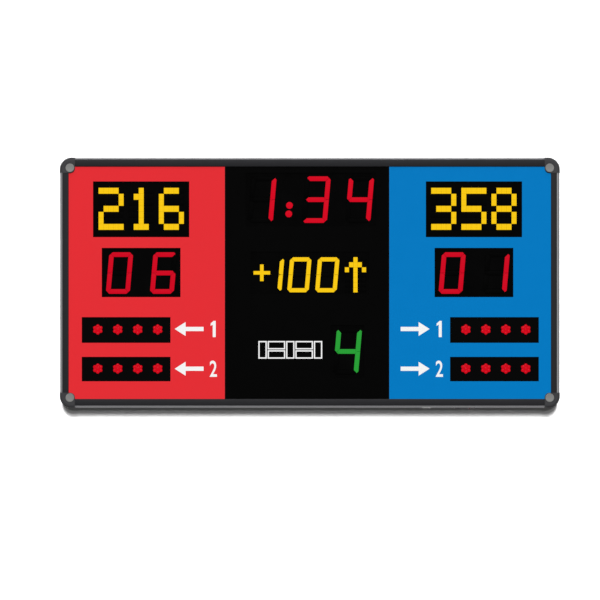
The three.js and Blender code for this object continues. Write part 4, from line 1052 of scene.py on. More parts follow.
@dataclass(frozen=True)
class Digit:
    """A slanted seven-segment digit, whose lit bars meet in one even stroke."""

    width: float
    height: float
    stroke: float
    slant: float = 0.088
    gap: float = 0.25
    corner_cut: float = 0.7
    rim: float = 0.9

    def lenses(self, x: float, z: float, text: str) -> list[Lens]:
        """The seven bars of a numeral.

        Args:
            x, z: the digit's middle.
            text: the numeral.

        Returns:
            The outline of each bar, and whether it is lit.
        """
        lit = NUMERAL_BARS[text]
        right, top = self.width / 2 - self.rim, self.height / 2 - self.rim
        stroke, gap = self.stroke - 2 * self.rim, self.gap
        corner, inner = self.corner_cut * stroke, right - stroke - gap
        flat = [
            (corner - right, top),
            (right - corner, top),
            (right - corner / 2 - gap, top - corner / 2),
            (inner, top - stroke),
            (-inner, top - stroke),
            (corner / 2 + gap - right, top - corner / 2),
        ]
        head = [
            (right, top - corner),
            (right - corner / 2, top - corner / 2 - gap),
            (right - stroke, top - stroke - gap),
        ]
        bent_foot = [
            (right - stroke, stroke / 2 + gap),
            (right - corner / 2, (corner - stroke) / 2 + gap),
            (right, corner - stroke / 2),
        ]
        drawn = {Bar.TOP: (flat, 1, 1), Bar.BOTTOM: (flat, 1, -1)}
        middle = []
        for side, pair in UPRIGHTS.items():
            joined = lit.issuperset(pair)
            tip = [] if joined else [(right - stroke / 2 - gap, 0)]
            end = [(inner, stroke / 2), *tip, (inner, -stroke / 2)]
            for bar, half in zip(pair, (1, -1)):
                rise = gap if bar in lit else stroke / 2 + gap
                foot = [(right - stroke, rise), (right, rise)]
                if not joined and lit.issuperset((bar, Bar.MIDDLE)):
                    foot = bent_foot
                    bend = (right - corner / 2 - gap, half * (corner - stroke) / 2)
                    tail = (right - corner, -half * stroke / 2)
                    end = [(inner, half * stroke / 2), bend, tail][::half]
                drawn[bar] = (head + foot, side, half)
            middle += [(side * px, pz) for px, pz in end][::side]
        drawn[Bar.MIDDLE] = (middle, 1, 1)
        return [
            ([(x + sx * px + self.slant * sz * pz, z + sz * pz) for px, pz in points], bar in lit)
            for bar, (points, sx, sz) in drawn.items()
        ]


@dataclass(frozen=True)
class HalfDigit:
    """The right-hand bars of a digit, alone."""

    digit: Digit

    @property
    def width(self) -> float:
        """Width of its stroke."""
        return self.digit.stroke

    def lenses(self, x: float, z: float, text: str) -> list[Lens]:
        """The two bars, both lit."""
        middle = x - (self.digit.width - self.digit.stroke) / 2
        return [lens for lens in self.digit.lenses(middle, z, text) if lens[1]]


@dataclass(frozen=True)
class DotMatrix:
    """Five columns by seven rows of pixels, with a groove round each."""

    pitch_x: float
    pitch_z: float
    groove: float = 0.4

    @property
    def width(self) -> float:
        """Width over the outer pixels."""
        return 5 * self.pitch_x - self.groove

    def lenses(self, x: float, z: float, text: str) -> list[Lens]:
        """The pixels of a sign, from the top row down.

        Args:
            x, z: the matrix's middle.
            text: the sign's name in MATRIX_ROWS.

        Returns:
            The outline of each pixel, and whether it is lit.
        """
        size = self.pitch_x - self.groove, self.pitch_z - self.groove
        left, top = x - 2 * self.pitch_x, z + 3 * self.pitch_z
        return [
            (rectangle(left + j * self.pitch_x, top - i * self.pitch_z, *size), cell == "#")
            for i, row in enumerate(MATRIX_ROWS[text].split())
            for j, cell in enumerate(row)
        ]


@dataclass(frozen=True)
class Colon:
    """The clock's two dots, in line with the slant of its digits."""

    width: float = 29.0
    radius: float = 13.6
    drop: float = 57.0
    pitch: float = 34.0

    def lenses(self, x: float, z: float, text: str) -> list[Lens]:
        """Both dots, the lower one first."""
        places = [(x + Digit.slant * rise, z - self.drop + rise) for rise in (0, self.pitch)]
        return [(circle(*place, self.radius, 32), True) for place in places]


@dataclass(frozen=True)
class Plus:
    """The weight display's plus sign, which stands higher than its digits."""

    width: float = 70.0
    stroke: float = 14.2
    rim: float = 1.7
    lift: float = 8.0

    def lenses(self, x: float, z: float, text: str) -> list[Lens]:
        """The sign's one lens, whose arms are one arm in four quarter turns.

        Args:
            x, z: the middle of the display's row.
            text: not used, as the lens says one thing only.

        Returns:
            The lens's outline, which is lit.
        """
        long, short = self.width / 2 - self.rim, self.stroke / 2
        arm = [complex(long, -short), complex(long, short), complex(short, short)]
        cross = [point * 1j**turn for turn in range(4) for point in arm]
        return [([(x + point.real, z + self.lift + point.imag) for point in cross], True)]


@dataclass(frozen=True)
class Row:
    """The signs of a display and where they stand in its window.

    The shares are the gaps before, between and after the signs.
    """

    display: str
    light: str
    signs: Sequence[tuple[Sign, str]]
    shares: Sequence[float]
    shift_x: float = 0.0
    shift_z: float = 0.0
    crown: float = 0.5


CLOCK, SCORE, WEIGHT = Digit(103, 188, 20.5), Digit(97.5, 168, 20.5), Digit(88, 142, 18.5)
LARGE, SMALL = DotMatrix(20.1, 24.1), DotMatrix(17.1, 20.2)
ROWS = [
    *(
        Row(
            name, "yellow", [(LARGE, numeral) for numeral in numerals],
            (0.257, 0.243, 0.243, 0.257), shift_z=2.0, crown=0.35,
        )
        for name, numerals in (("red_name", "216"), ("blue_name", "358"))
    ),
    *(
        Row(
            name, "red_score", [(SCORE, numeral) for numeral in numerals],
            (0.183, 0.658, 0.159), shift_z=-2.0,
        )
        for name, numerals in (("red_score", "06"), ("blue_score", "01"))
    ),
    Row(
        "clock", "red_clock", [(CLOCK, "1"), (Colon(), ""), (CLOCK, "3"), (CLOCK, "4")],
        (0.08, 0.22, 0.24, 0.385, 0.075),
    ),
    Row(
        "weight", "yellow",
        [(Plus(), ""), (HalfDigit(WEIGHT), "1"), (WEIGHT, "0"), (WEIGHT, "0"), (SMALL, "arrow")],
        (0.08, 0.255, 0.17, 0.192, 0.21, 0.093), shift_z=-8.0,
    ),
    Row("mat_number", "green", [(CLOCK, "4")], (0.5, 0.5), shift_x=1.0, shift_z=1.0),
]


# Displays


@dataclass
class Displays:
    """Lens plates with their lit and unlit lenses, masks, boards and the penalty lamps."""

    datum: Datum
    mask_margin: float = 10.0
    front: float = -83.35
    plate_front: float = -81.05
    plate_rear: float = -79.55
    lens_root: float = 0.2
    lamp_sheet: float = 1.6
    lamp_count: int = 4
    lamp_pitch: float = 80.0
    lamp_shift: float = 6.0
    upper_lamps: float = 59.5
    lower_lamps: float = 61.0
    header: Point = (13.0, 4.5)
    header_rounding: float = 0.5
    diode_radius: float = 6.8
    diode_height: float = 5.0
    dome_height: float = 3.74
    diode_gap: float = 0.1
    cup_radius: float = 18.6
    cup_lobe: float = 2.1
    cup_height: float = 1.2
    cup_rounding: float = 0.6
    cup_root: float = 0.4

    def build(self) -> None:
        """Makes the lens pieces and dresses what stands round them."""
        for row in ROWS:
            self._show(row)
        for name in ("red_penalty", "blue_penalty"):
            self._lamps(name)
        shown = [row.display for row in ROWS]
        masks = [f"{name}_mask" for name in (*shown, "red_penalty", "blue_penalty")]
        self.datum.dress("black_polycarbonate_moulded", *masks)
        self.datum.dress("green_solder_mask", *[f"{name}_board" for name in shown])

    def _show(self, row: Row) -> None:
        """Makes a display's lens plate with its raised lenses.

        Args:
            row: what the display shows.
        """
        node = f"{row.display}_lenses"
        low, high = self.datum.box(f"{row.display}_mask")
        sizes = [sign.width for sign, _ in row.signs]
        margin = self.mask_margin
        places = spread(low.x + margin, high.x - margin, sizes, row.shares)
        z = (low.z + high.z) / 2 + row.shift_z
        finishes = f"{row.light}_lens_lit", "smoked_acrylic_moulded"
        piece = Piece(f"{row.display}_lens_plate", *finishes)
        piece.add(Shape.plate(self.datum.face(node), self.plate_front, self.plate_rear), 1)
        for x, (sign, text) in zip(places, row.signs):
            for outline, lit in sign.lenses(x + row.shift_x, z, text):
                lens = Shape.plate(outline, self.front, self.plate_front + self.lens_root)
                piece.add(lens.bevelled(row.crown, 2, at_depth(self.front)), 0 if lit else 1)
        colour, _, _ = row.light.partition("_")
        piece.place("case", f"{colour}_lens", [node])

    def _lamps(self, name: str) -> None:
        """Makes a penalty board: two rows of clusters, each of seven diodes.

        Args:
            name: the board's display.
        """
        node, front = f"{name}_lamp_board", self.plate_front
        low, high = self.datum.box(node)
        x, z = ((low + high) / 2).xz
        finishes = "black_solder_mask", "red_diode_epoxy_and_painted_glow", "black_polyamide_and_painted_shade"
        piece = Piece(f"{name}_diode_board", *finishes)
        piece.add(Shape.plate(self.datum.face(node), front, front + self.lamp_sheet))
        half, tall = self.header
        near, far = front + self.lamp_sheet - ROOT, high.y
        header = Shape.block((x - half, near, z - tall), (x + half, far, z + tall))
        piece.add(header.bevelled(self.header_rounding), 2)
        bottom, top = (corner.z for corner in self.datum.box(f"{name}_mask"))
        for height in (top - self.upper_lamps, bottom + self.lower_lamps):
            for i in range(self.lamp_count):
                along = (i - (self.lamp_count - 1) / 2) * self.lamp_pitch
                self._cluster(piece, x + self.lamp_shift + along, height)
        piece.place("case", "lamp_board", [node])

    def _cluster(self, piece: Piece, x: float, z: float) -> None:
        """Adds one lamp: a six-lobed reflector cup with seven diodes, the first lobe straight up.
        The cup, which is no lamp, glows in the diodes' finish as painted light.

        Args:
            piece: the board's piece.
            x, z: the lamp's middle.
        """
        lip, radius, rim = self.plate_front - self.cup_height, self.diode_radius, []
        for turn in (math.radians(6 * i) for i in range(60)):
            reach = self.cup_radius - self.cup_lobe * math.cos(6 * turn)
            rim.append((x + reach * math.cos(turn), z + reach * math.sin(turn)))
        # The reflector cup glows with the diodes' finish: painted light from the diodes it surrounds
        cup = Shape.plate(rim, lip, self.plate_front + self.cup_root)
        piece.add(cup.bevelled(self.cup_rounding, 2, at_depth(lip)), 1)
        flat = self.dome_height / radius
        dome = arc(0, 0, radius, 0, -90, 5)
        foot = self.lens_root - self.cup_height
        profile = [(0, foot), (radius, foot)]
        profile += [(r, (t + radius) * flat - self.diode_height) for r, t in dome]
        ring = arc(x, z, 2 * radius + self.diode_gap, 90, 450, 6)[:-1]
        for px, pz in [(x, z), *ring]:
            piece.add(Shape.turned(profile, (px, self.plate_front, pz), 16), 1)


# Front panels and their print


@dataclass
class FrontPanels:
    """The three printed panels, the signs on them and the gaskets between them."""

    datum: Datum
    ink: float = 0.15
    sign_height: float = 65.0
    # Each side's name, the left end of its signs and the way its arrows point
    sides: tuple[tuple[str, float, int], ...] = (("red", -541.0, -1), ("blue", 363.5, 1))
    rows: tuple[tuple[str, float], ...] = (("1", -185.0), ("2", -344.0))
    # Upper half of an arrow that points right
    arrow: Outline = ((58.0, 0), (14.0, 28.0), (14.0, 8.5), (-58.0, 8.5))
    # A 1 with a flag
    one: Outline = (
        (9.5, -32.5), (9.5, 32.5), (0.5, 32.5), (-11, 21.5), (-11, 12.5), (-2.5, 17.5),
        (-2.5, -32.5),
    )
    numeral_shift: float = 155.0
    numeral_narrow: float = 0.7
    numeral_bold: float = 0.012
    stroke: float = 5.0
    mat_width: float = 37.0
    mat_gap: float = 3.5
    mats_left: float = -207.5
    mats_height: float = -268.4
    joint: float = 0.4
    gasket_width: float = 0.36
    gasket_inset: float = 0.2

    def build(self) -> None:
        """Dresses the panels, prints their signs and closes their joints."""
        for colour, name in (("red", "red"), ("black", "centre"), ("blue", "blue")):
            self.datum.dress(f"{colour}_printed_sheet", f"{name}_front_panel")
        for side, start, way in self.sides:
            for numeral, height in self.rows:
                self._row_sign(f"{side}_row_{numeral}_sign", start, way, numeral, height)
        self._mats()
        self._gaskets()

    @property
    def front(self) -> float:
        """Depth of the panels' front face."""
        return self.datum.box("centre_front_panel")[0].y

    def _print(self, outline: Outline, holes: Iterable[Outline] = ()) -> Shape:
        """A patch of ink on the panels."""
        return Shape.plate(outline, self.front - self.ink, self.front + INTO, holes)

    def _row_sign(self, name: str, start: float, way: int, numeral: str, z: float) -> None:
        """Prints an arrow towards a row of lamps, and the row's numeral.

        Args:
            name: the piece's name.
            start: left end of the sign.
            way: 1 where the arrow points right, -1 where it points left.
            numeral: the row's numeral.
            z: height of the sign's middle.
        """
        piece = Piece(name, "white_ink_printed")
        x, middle = start + self.numeral_shift, start + self.arrow[0][0]
        arrow = [*self.arrow, *((px, -pz) for px, pz in self.arrow[:0:-1])]
        piece.add(self._print([(middle + way * px, z + pz) for px, pz in arrow]))
        if numeral == "1":
            piece.add(self._print([(x + px, z + pz) for px, pz in self.one]))
        else:
            piece.add(self._numeral(numeral, x, z))
        piece.place("case")

    def _numeral(self, numeral: str, x: float, z: float) -> Shape:
        """A printed numeral, as high as a sign.

        Args:
            numeral: the numeral.
            x, z: its middle.

        Returns:
            The closed shape.
        """
        curve = bpy.data.curves.new(f"numeral_{numeral}", type="FONT")
        curve.body = numeral
        curve.offset = self.numeral_bold
        text = bpy.data.objects.new(f"numeral_{numeral}", curve)
        mesh = bpy.data.meshes.new_from_object(text)
        shape = Shape()
        shape.mesh.from_mesh(mesh)
        bpy.data.objects.remove(text)
        bpy.data.curves.remove(curve)
        bpy.data.meshes.remove(mesh)
        places = [vert.co for vert in shape.mesh.verts]
        low, high = (
            Vector((end(p.x for p in places), end(p.y for p in places), 0)) for end in (min, max)
        )
        size = self.sign_height / (high.y - low.y)
        stand = Matrix.Translation((x, self.front + INTO, z)) @ Matrix.Rotation(math.pi / 2, 4, "X")
        fit = Matrix.Diagonal((self.numeral_narrow * size, size, 1, 1))
        shape.transformed(stand @ fit @ Matrix.Translation(-(low + high) / 2))
        bmesh.ops.remove_doubles(shape.mesh, verts=shape.mesh.verts[:], dist=WELD)
        return shape.thickened(-Y_AXIS * (self.ink + INTO))

    def _mats(self) -> None:
        """Prints a line drawing of mats laid edge to edge, each twice as long as wide."""
        unit, half = self.mat_width, self.mat_width / 2
        mats = [(share * unit, 0.0, unit, 2 * unit) for share in (0.5, 3.5, 6.5)]
        mats += [(share * unit, z, 2 * unit, unit) for share in (2, 5) for z in (-half, half)]
        piece = Piece("mat_sign", "white_ink_printed")
        for x, z, across, tall in mats:
            outer, inner = (
                rectangle(self.mats_left + x, self.mats_height + z, across - gap, tall - gap)
                for gap in (self.mat_gap, self.mat_gap + 2 * self.stroke)
            )
            piece.add(self._print(outer, [inner]))
        piece.place("case")

    def _gaskets(self) -> None:
        """Makes the black gaskets that close the joints between the panels."""
        piece = Piece("panel_joint_gaskets", "black_polyamide_and_painted_shade")
        low, high = self.datum.box("centre_front_panel")
        front = low.y + self.gasket_inset
        for x in (low.x - self.joint / 2, high.x + self.joint / 2):
            strip = rectangle(x, (front + high.y) / 2, self.gasket_width, high.y - front)
            piece.add(Shape.plate(strip, low.z, high.z, axis=2))
        piece.place("case")


# Fasteners


@dataclass(frozen=True)
class Screw:
    """A pan-head screw with a cross recess.

    Its rounding and the length and width of its slots are shares of its radius. The slots are dark
    blocks that stand a little proud, painted shade that shows the cross recess on the crown.
    """

    radius: float
    height: float
    rounding: float = 0.55
    slot_length: float = 1.1
    slot_width: float = 0.24
    slot_depth: float = 0.5
    slot_proud: float = 0.06

    def add_to(
        self, piece: Piece, seat: Sequence[float], way: Vector = Y_AXIS, metal: int = 0
    ) -> None:
        """Adds a head.

        Args:
            piece: the piece that gets it, whose second finish paints the shade of the cross.
            seat: the point on the sheet under the head.
            way: unit vector out of the sheet.
            metal: index of the head's material.
        """
        rounding = self.radius * self.rounding
        crown = arc(self.radius - rounding, 0, rounding, 0, 90, 3)
        profile = [(0, -ROOT), (self.radius, -ROOT)]
        profile += [(r, t * self.height / rounding) for r, t in crown]
        profile.append((0, self.height))
        piece.add(Shape.turned(profile, seat, 14, way), metal)
        side = Vector((way.y, way.z, way.x))
        across = way.cross(side)
        floor = Vector(seat) + way * (self.height - self.slot_depth)
        long, short = self.radius * self.slot_length, self.radius * self.slot_width
        # The cross is painted shade: dark blocks on the crown where the recess would lie in shade
        for size in ((long, short), (short, long)):
            slot = [floor + side * a + across * b for a, b in rectangle(0, 0, *size)]
            piece.add(Shape.extruded(slot, way * (self.slot_depth + self.slot_proud)), 1)

    def row(self, name: str, seats: Iterable[Sequence[float]], way: Vector = Y_AXIS) -> None:
        """Makes a piece of such screws on the case.

        Args:
            name: the piece's name.
            seats: points on the sheet under the heads.
            way: unit vector out of the sheet.
        """
        piece = Piece(name, "nickel_plated_steel", "black_polyamide_and_painted_shade")
        for seat in seats:
            self.add_to(piece, seat, way)
        piece.place("case", "bright_steel")


# Rear


@dataclass
class Rear:
    """The rear panel, the mounting rails, the service door and their small parts."""

    datum: Datum
    panel_screw: Screw = Screw(4.0, 2.3)
    panel_drop: float = 0.3
    screw_inset: float = 10.0
    screws_along: Sequence[float] = tuple(range(-900, 901, 225))
    screws_up: Sequence[float] = (-440, -310, -155, 0, 155, 310, 440)
    leaf_screw: Screw = Screw(3.4, 1.6)
    leaf_screws: int = 4
    leaf_inset: float = 8.0
    leaf_sheet: float = 1.5
    rivet_radius: float = 3.6
    rivet_flatness: float = 0.45
    # The broken pin in a rivet's crown, as (radius, rise) points
    rivet_pin: Outline = ((1.3, 0), (1.1, -0.8), (0, -0.8))
    rivets_along: Sequence[float] = tuple(range(-950, 951, 190))
    rail_foot: float = 25.5
    rail_sheet: float = 2.0
    lock_height: float = 90.0
    lock_front: float = -18.4
    lock_rear: float = -15.4
    lock_rounding: float = 1.2
    lock_overlap: float = 1.0
    # The groove round the lock's face, as distances in from its edge and back from its front
    lock_groove: Outline = ((3.0, 0), (3.4, 0.5))
    barrel_radius: float = 7.5
    wing: tuple[float, float, float] = (5, 22, 2.2)
    cam_half: float = 6.5
    cam_reach: float = 36.0
    cam_sheet: float = 2.0
    cam_rounding: float = 0.4

    def build(self) -> None:
        """Dresses the rear nodes and makes the fasteners and locks."""
        dress = self.datum.dress
        dress("grey_powder_coat", "rear_panel", "service_door")
        dress("zinc_plated_steel", "upper_mounting_rail", "lower_mounting_rail")
        dress("zinc_plated_steel", "left_mullion", "right_mullion", "electronics_tray")
        dress("nickel_plated_steel", "hinge_leaf", "hinge_pin")
        dress("black_polyamide_and_painted_shade", "horn")
        self._panel_screws()
        self._rivets()
        low, high = self.datum.box("hinge_leaf")
        pitch = (high.z - low.z) / self.leaf_screws
        heights = [low.z + (i + 0.5) * pitch for i in range(self.leaf_screws)]
        seats = [(low.x + self.leaf_inset, low.y + self.leaf_sheet, z) for z in heights]
        self.leaf_screw.row("hinge_leaf_screws", seats)
        self._lock("upper", self.lock_height)
        self._lock("lower", -self.lock_height)

    def _panel_screws(self) -> None:
        """Makes the screws that hold the rear panel to the seat flange of the rails."""
        half_x = self.datum.box("right_rail")[1].x - self.screw_inset
        half_z = self.datum.box("top_rail")[1].z - self.screw_inset
        sheet = self.datum.box("upper_mounting_rail")[0].y - self.panel_drop
        seats = [(x, sheet, side * half_z) for x in self.screws_along for side in (-1, 1)]
        seats += [(side * half_x, sheet, z) for z in self.screws_up for side in (-1, 1)]
        self.panel_screw.row("rear_panel_screws", seats)

    def _rivets(self) -> None:
        """Makes the blind rivets in the feet of the mounting rails."""
        piece = Piece("mounting_rail_rivets", "nickel_plated_steel")
        radius, flatness = self.rivet_radius, self.rivet_flatness
        profile = [(0, -ROOT), (radius, -ROOT)]
        profile += [(r, t * flatness) for r, t in arc(0, 0, radius, 0, 62, 4)]
        profile += [(r, profile[-1][1] + t) for r, t in self.rivet_pin]
        for node in ("upper_mounting_rail", "lower_mounting_rail"):
            low, high = self.datum.box(node)
            middle = (low.z + high.z) / 2
            for x in self.rivets_along:
                for z in (middle - self.rail_foot, middle + self.rail_foot):
                    piece.add(Shape.turned(profile, (x, low.y + self.rail_sheet, z), 14))
        piece.place("case", "bright_steel")

    def _lock(self, name: str, z: float) -> None:
        """Makes a quarter-turn lock with its wing handle and cam.

        Args:
            name: upper or lower.
            z: height of its axis.
        """
        node = f"{name}_door_lock"
        low, high = self.datum.box(node)
        x = (low.x + high.x) / 2
        radius, barrel, half = high.x - x, self.barrel_radius, self.cam_half
        front, rear, soft = self.lock_front, self.lock_rear, self.lock_rounding
        inner = front + self.lock_overlap
        head = [
            (0, front),
            (radius, front),
            *arc(radius - soft, rear - soft, soft, 0, 90, 4),
            *((radius - inward, rear - drop) for inward, drop in self.lock_groove),
            (0, rear - self.lock_groove[-1][1]),
        ]
        pin = [(0, low.y), (barrel, low.y), (barrel, inner), (0, inner)]
        wing = Shape.plate(rectangle(x, z, *self.wing), rear - self.lock_overlap, high.y)
        cam = [(x - half, z - half), (x + half, z - half)]
        cam += arc(x, z + self.cam_reach - half, half, 0, 180, 12)
        piece = Piece(f"{name}_lock_hardware", "nickel_plated_steel")
        piece.add(Shape.turned(head, (x, 0, z), 40))
        piece.add(Shape.turned(pin, (x, 0, z), 24))
        piece.add(wing.bevelled(soft, 3, at_depth(high.y)))
        piece.add(Shape.plate(cam, low.y, low.y + self.cam_sheet).bevelled(self.cam_rounding))
        piece.place(f"{name}_lock", "bright_steel", [node])


# Electronics behind the service door


@dataclass
class Electronics:
    """The power supply, the controller, the ribbon cable and the mains lead inside."""

    datum: Datum
    case_rounding: float = 1.2
    strip_width: float = 18.0
    strip_recess: float = 14.0
    terminals: int = 7
    terminal_screw: Screw = Screw(3.6, 2.0)
    terminal_inset: float = 8.0
    rib_width: float = 2.0
    rib_drop: float = 4.0
    rib_inset: float = 2.0
    rib_rounding: float = 0.4
    block_height: float = 3.0
    block_inset: float = 3.0
    block_gap: float = 1.0
    block_root: float = 0.2
    block_rounding: float = 0.5
    # How far the vents stay from the supply's left side, its terminals, and its top and bottom
    vent_margins: tuple[float, float, float] = (24.0, 18.0, 16.0)
    vent_pitch: float = 7.0
    vent_radius: float = 2.2
    vent_edge: float = 0.35
    vent_rise: float = 0.12
    vent_root: float = 0.5
    board_sheet: float = 1.6
    board_corner: float = 3.0
    board_screw: Screw = Screw(3.2, 1.8)
    board_inset: float = 8.0
    part_rounding: float = 0.6
    # Left, bottom, width, height and reach as shares of the board, and the index of the finish
    chip: tuple[float, ...] = (0.33, 0.4, 0.18, 0.22, 0.018, 1)
    parts: tuple[tuple[float, ...], ...] = (
        (0.05, 0.08, 0.5, 0.09, 0.075, 2),
        (0.62, 0.08, 0.3, 0.09, 0.075, 2),
        (0.68, 0.42, 0.11, 0.15, 0.018, 1),
        (0.08, 0.34, 0.13, 0.17, 0.1, 1),
    )
    chip_legs: int = 14
    # How far a leg reaches out, half its width, and its rise
    leg: tuple[float, float, float] = (1.6, 0.4, 0.7)
    capacitors: tuple[Point, ...] = ((0.11, 0.7), (0.18, 0.7))
    can: Outline = ((0, 0), (4.6, 0), (4.6, 8.4), (4.1, 9), (3.6, 9), (3.4, 8.8), (0, 8.8))
    lead_radius: float = 3.5
    lead_start: float = 0.3
    lead_end: float = 1.0
    # The lead's way from inlet to terminals, as shares of its run, the case's depth and its rise
    lead_route: tuple[tuple[float, float, float], ...] = (
        (1, 0.489, 1), (1, 0.494, 0.947), (0.974, 0.511, 0.83), (0.888, 0.544, 0.703),
        (0.765, 0.556, 0.622), (0.623, 0.556, 0.511), (0.501, 0.556, 0.434),
        (0.347, 0.556, 0.413), (0.173, 0.544, 0.392), (0.077, 0.522, 0.315),
        (0.057, 0.489, 0.192), (0.054, 0.444, 0.096), (0.047, 0.427, 0.053),
        (0.025, 0.4245, 0.034), (0, 0.4245, 0.032),
    )

    def build(self) -> None:
        """Makes the pieces that show when the door is open."""
        self._supply()
        self._controller()
        self.datum.dress("flat_cable_extruded", "ribbon_cable")
        self._lead()

    def _supply(self) -> None:
        """Makes the power supply: a perforated case and an open terminal strip."""
        low, high = self.datum.box("power_supply")
        finishes = "aluminium_sheet_brushed", "black_polyamide_and_painted_shade", "nickel_plated_steel"
        piece = Piece("supply_unit", *finishes)
        side, bed = high.x - self.strip_width, high.y - self.strip_recess
        case = Shape.block(low, (side, high.y, high.z))
        piece.add(case.bevelled(self.case_rounding, 3, at_depth(high.y)))
        gap = self.block_gap
        piece.add(Shape.block((side - gap, low.y, low.z), (high.x, bed, high.z)))
        left, right, ends = self.vent_margins
        self._vents(piece, (low.x + left, side - right), (low.z + ends, high.z - ends), high.y)
        rib, top = self.rib_width, bed + self.block_height
        pitch = (high.z - low.z - rib) / self.terminals
        for z in (low.z + i * pitch for i in range(self.terminals + 1)):
            far = (high.x - self.rib_inset, high.y - self.rib_drop, z + rib)
            shape = Shape.block((side - gap, bed - gap, z), far)
            piece.add(shape.bevelled(self.rib_rounding), 1)
        for z in (low.z + i * pitch for i in range(self.terminals)):
            near = (side + gap, bed - self.block_root, z + rib + gap)
            far = (high.x - self.block_inset, top, z + pitch - gap)
            piece.add(Shape.block(near, far).bevelled(self.block_rounding), 1)
            seat = (side + self.terminal_inset, top, z + (pitch + rib) / 2)
            self.terminal_screw.add_to(piece, seat, metal=2)
        piece.place("case", "supply_case", ["power_supply"])

    def _vents(self, piece: Piece, along: Point, up: Point, depth: float) -> None:
        """Adds a field of round vent holes, drawn as dark dishes in the case's cover: painted shade
        in place of the open holes.

        Args:
            piece: the supply's piece.
            along: left and right end of the field.
            up: its bottom and top.
            depth: depth of the cover.
        """
        pitch, inner = self.vent_pitch, self.vent_radius
        outer, rise, root = inner + self.vent_edge, self.vent_rise, -self.vent_root
        # Each dark disc is painted shade standing in for the hole
        dish = [(0, rise), (inner, rise), (outer, 0), (outer, root), (0, root)]
        for row in range(int((up[1] - up[0]) / pitch)):
            z = up[0] + (row + 0.5) * pitch
            for column in range(int((along[1] - along[0]) / pitch)):
                x = along[0] + (column + 0.5 * (row % 2) + 0.25) * pitch
                piece.add(Shape.turned(dish, (x, depth, z), 8), 1)

    def _controller(self) -> None:
        """Makes the controller board with its chips, capacitors and connectors."""
        low, high = self.datum.box("controller_board")
        piece = Piece(
            "controller_assembly", "green_solder_mask", "black_polyamide_and_painted_shade",
            "polyamide_ivory_moulded", "blue_sleeve_shrunk", "nickel_plated_steel",
        )
        width, tall, rear = high.x - low.x, high.z - low.z, low.y + self.board_sheet
        board = self.datum.face("controller_board", self.board_corner)
        piece.add(Shape.plate(board, low.y, rear))
        for left, bottom, across, up, reach, finish in (self.chip, *self.parts):
            near = (low.x + left * width, rear - ROOT, low.z + bottom * tall)
            far = (near[0] + across * width, rear + reach * width, near[2] + up * tall)
            piece.add(Shape.block(near, far).bevelled(self.part_rounding), finish)
        left, bottom, across, up, _, _ = self.chip
        out, half, rise = self.leg
        for i in range(self.chip_legs):
            z = low.z + (bottom + (i + 0.5) / self.chip_legs * up) * tall
            for x in (low.x + left * width, low.x + (left + across) * width):
                near, far = (x - out, rear - INTO, z - half), (x + out, rear + rise, z + half)
                piece.add(Shape.block(near, far), 4)
        for px, pz in self.capacitors:
            piece.add(Shape.turned(self.can, (low.x + px * width, rear, low.z + pz * tall), 24), 3)
        inset = self.board_inset
        for x in (low.x + inset, high.x - inset):
            for z in (low.z + inset, high.z - inset):
                self.board_screw.add_to(piece, (x, rear, z), metal=4)
        piece.place("case", "circuit_board", ["controller_board"])

    def _lead(self) -> None:
        """Makes the mains lead from the inlet to the supply's terminals, as one smooth tube."""
        low, high = self.datum.box("mains_inlet")
        end = self.datum.box("power_supply")[1].x - self.lead_end
        run, top = (low.x + high.x) / 2 - end, high.z + self.lead_start
        points = [
            Vector((end + way * run, -depth * CaseFrame.depth, drop * top))
            for way, depth, drop in self.lead_route
        ]
        piece = Piece("mains_lead", "pvc_cable_extruded")
        piece.add(Shape.swept(points, self.lead_radius, 16, 8))
        piece.place("case", "cable_sheath", ["mains_harness"])


# Underside connections


@dataclass
class Underside:
    """The mains inlet with its fuse drawer and rocker, and the data socket."""

    datum: Datum
    inlet_screw: Screw = Screw(2.6, 1.2)
    inlet_inset: Point = (5.5, 4.6)
    socket_screw: Screw = Screw(2.4, 1.2)
    socket_inset: Point = (4.5, 4.5)
    mark_ink: float = 0.1
    mark_gap: float = 4.0
    mark_shift: float = 6.0
    mark_size: float = 4.0
    line_width: float = 0.9
    ring_width: float = 0.7

    def build(self) -> None:
        """Makes the pieces let into the bottom rail."""
        self._screws("inlet_screws", "mains_inlet", self.inlet_screw, self.inlet_inset)
        self._rocker_marks()
        self._screws("data_socket_screws", "data_socket", self.socket_screw, self.socket_inset)
        self.datum.dress("nickel_plated_steel", "data_socket")
        self.datum.dress("red_polycarbonate_moulded", "power_rocker")
        self.datum.dress("black_polyamide_and_painted_shade", "fuse_drawer", "mains_inlet")

    def _screws(self, name: str, node: str, screw: Screw, inset: Point) -> None:
        """Makes the four screws of a flange.

        Args:
            name: the piece's name.
            node: the node with the flange.
            screw: what its screws are like.
            inset: their distances in from its sides.
        """
        low, high = self.datum.box(node)
        across, deep = inset
        seats = [
            (x, y, low.z)
            for x in (low.x + across, high.x - across)
            for y in (low.y + deep, high.y - deep)
        ]
        screw.row(name, seats, -Z_AXIS)

    def _rocker_marks(self) -> None:
        """Prints the on and off marks beside the rocker."""
        low, high = self.datum.box("power_rocker")
        level = self.datum.box("mains_inlet")[0].z
        x, y = (low.x + high.x) / 2, high.y + self.mark_gap
        line = rectangle(x + self.mark_shift, y, self.line_width, self.mark_size)
        ring, hole = (
            circle(x - self.mark_shift, y, self.mark_size / 2 - width, 24)
            for width in (0, self.ring_width)
        )
        piece = Piece("rocker_marks", "white_ink_printed")
        for outline, holes in ((line, []), (ring, [hole])):
            piece.add(Shape.plate(outline, level - self.mark_ink, level + INTO, holes, 2))
        piece.place("case")


# Studio


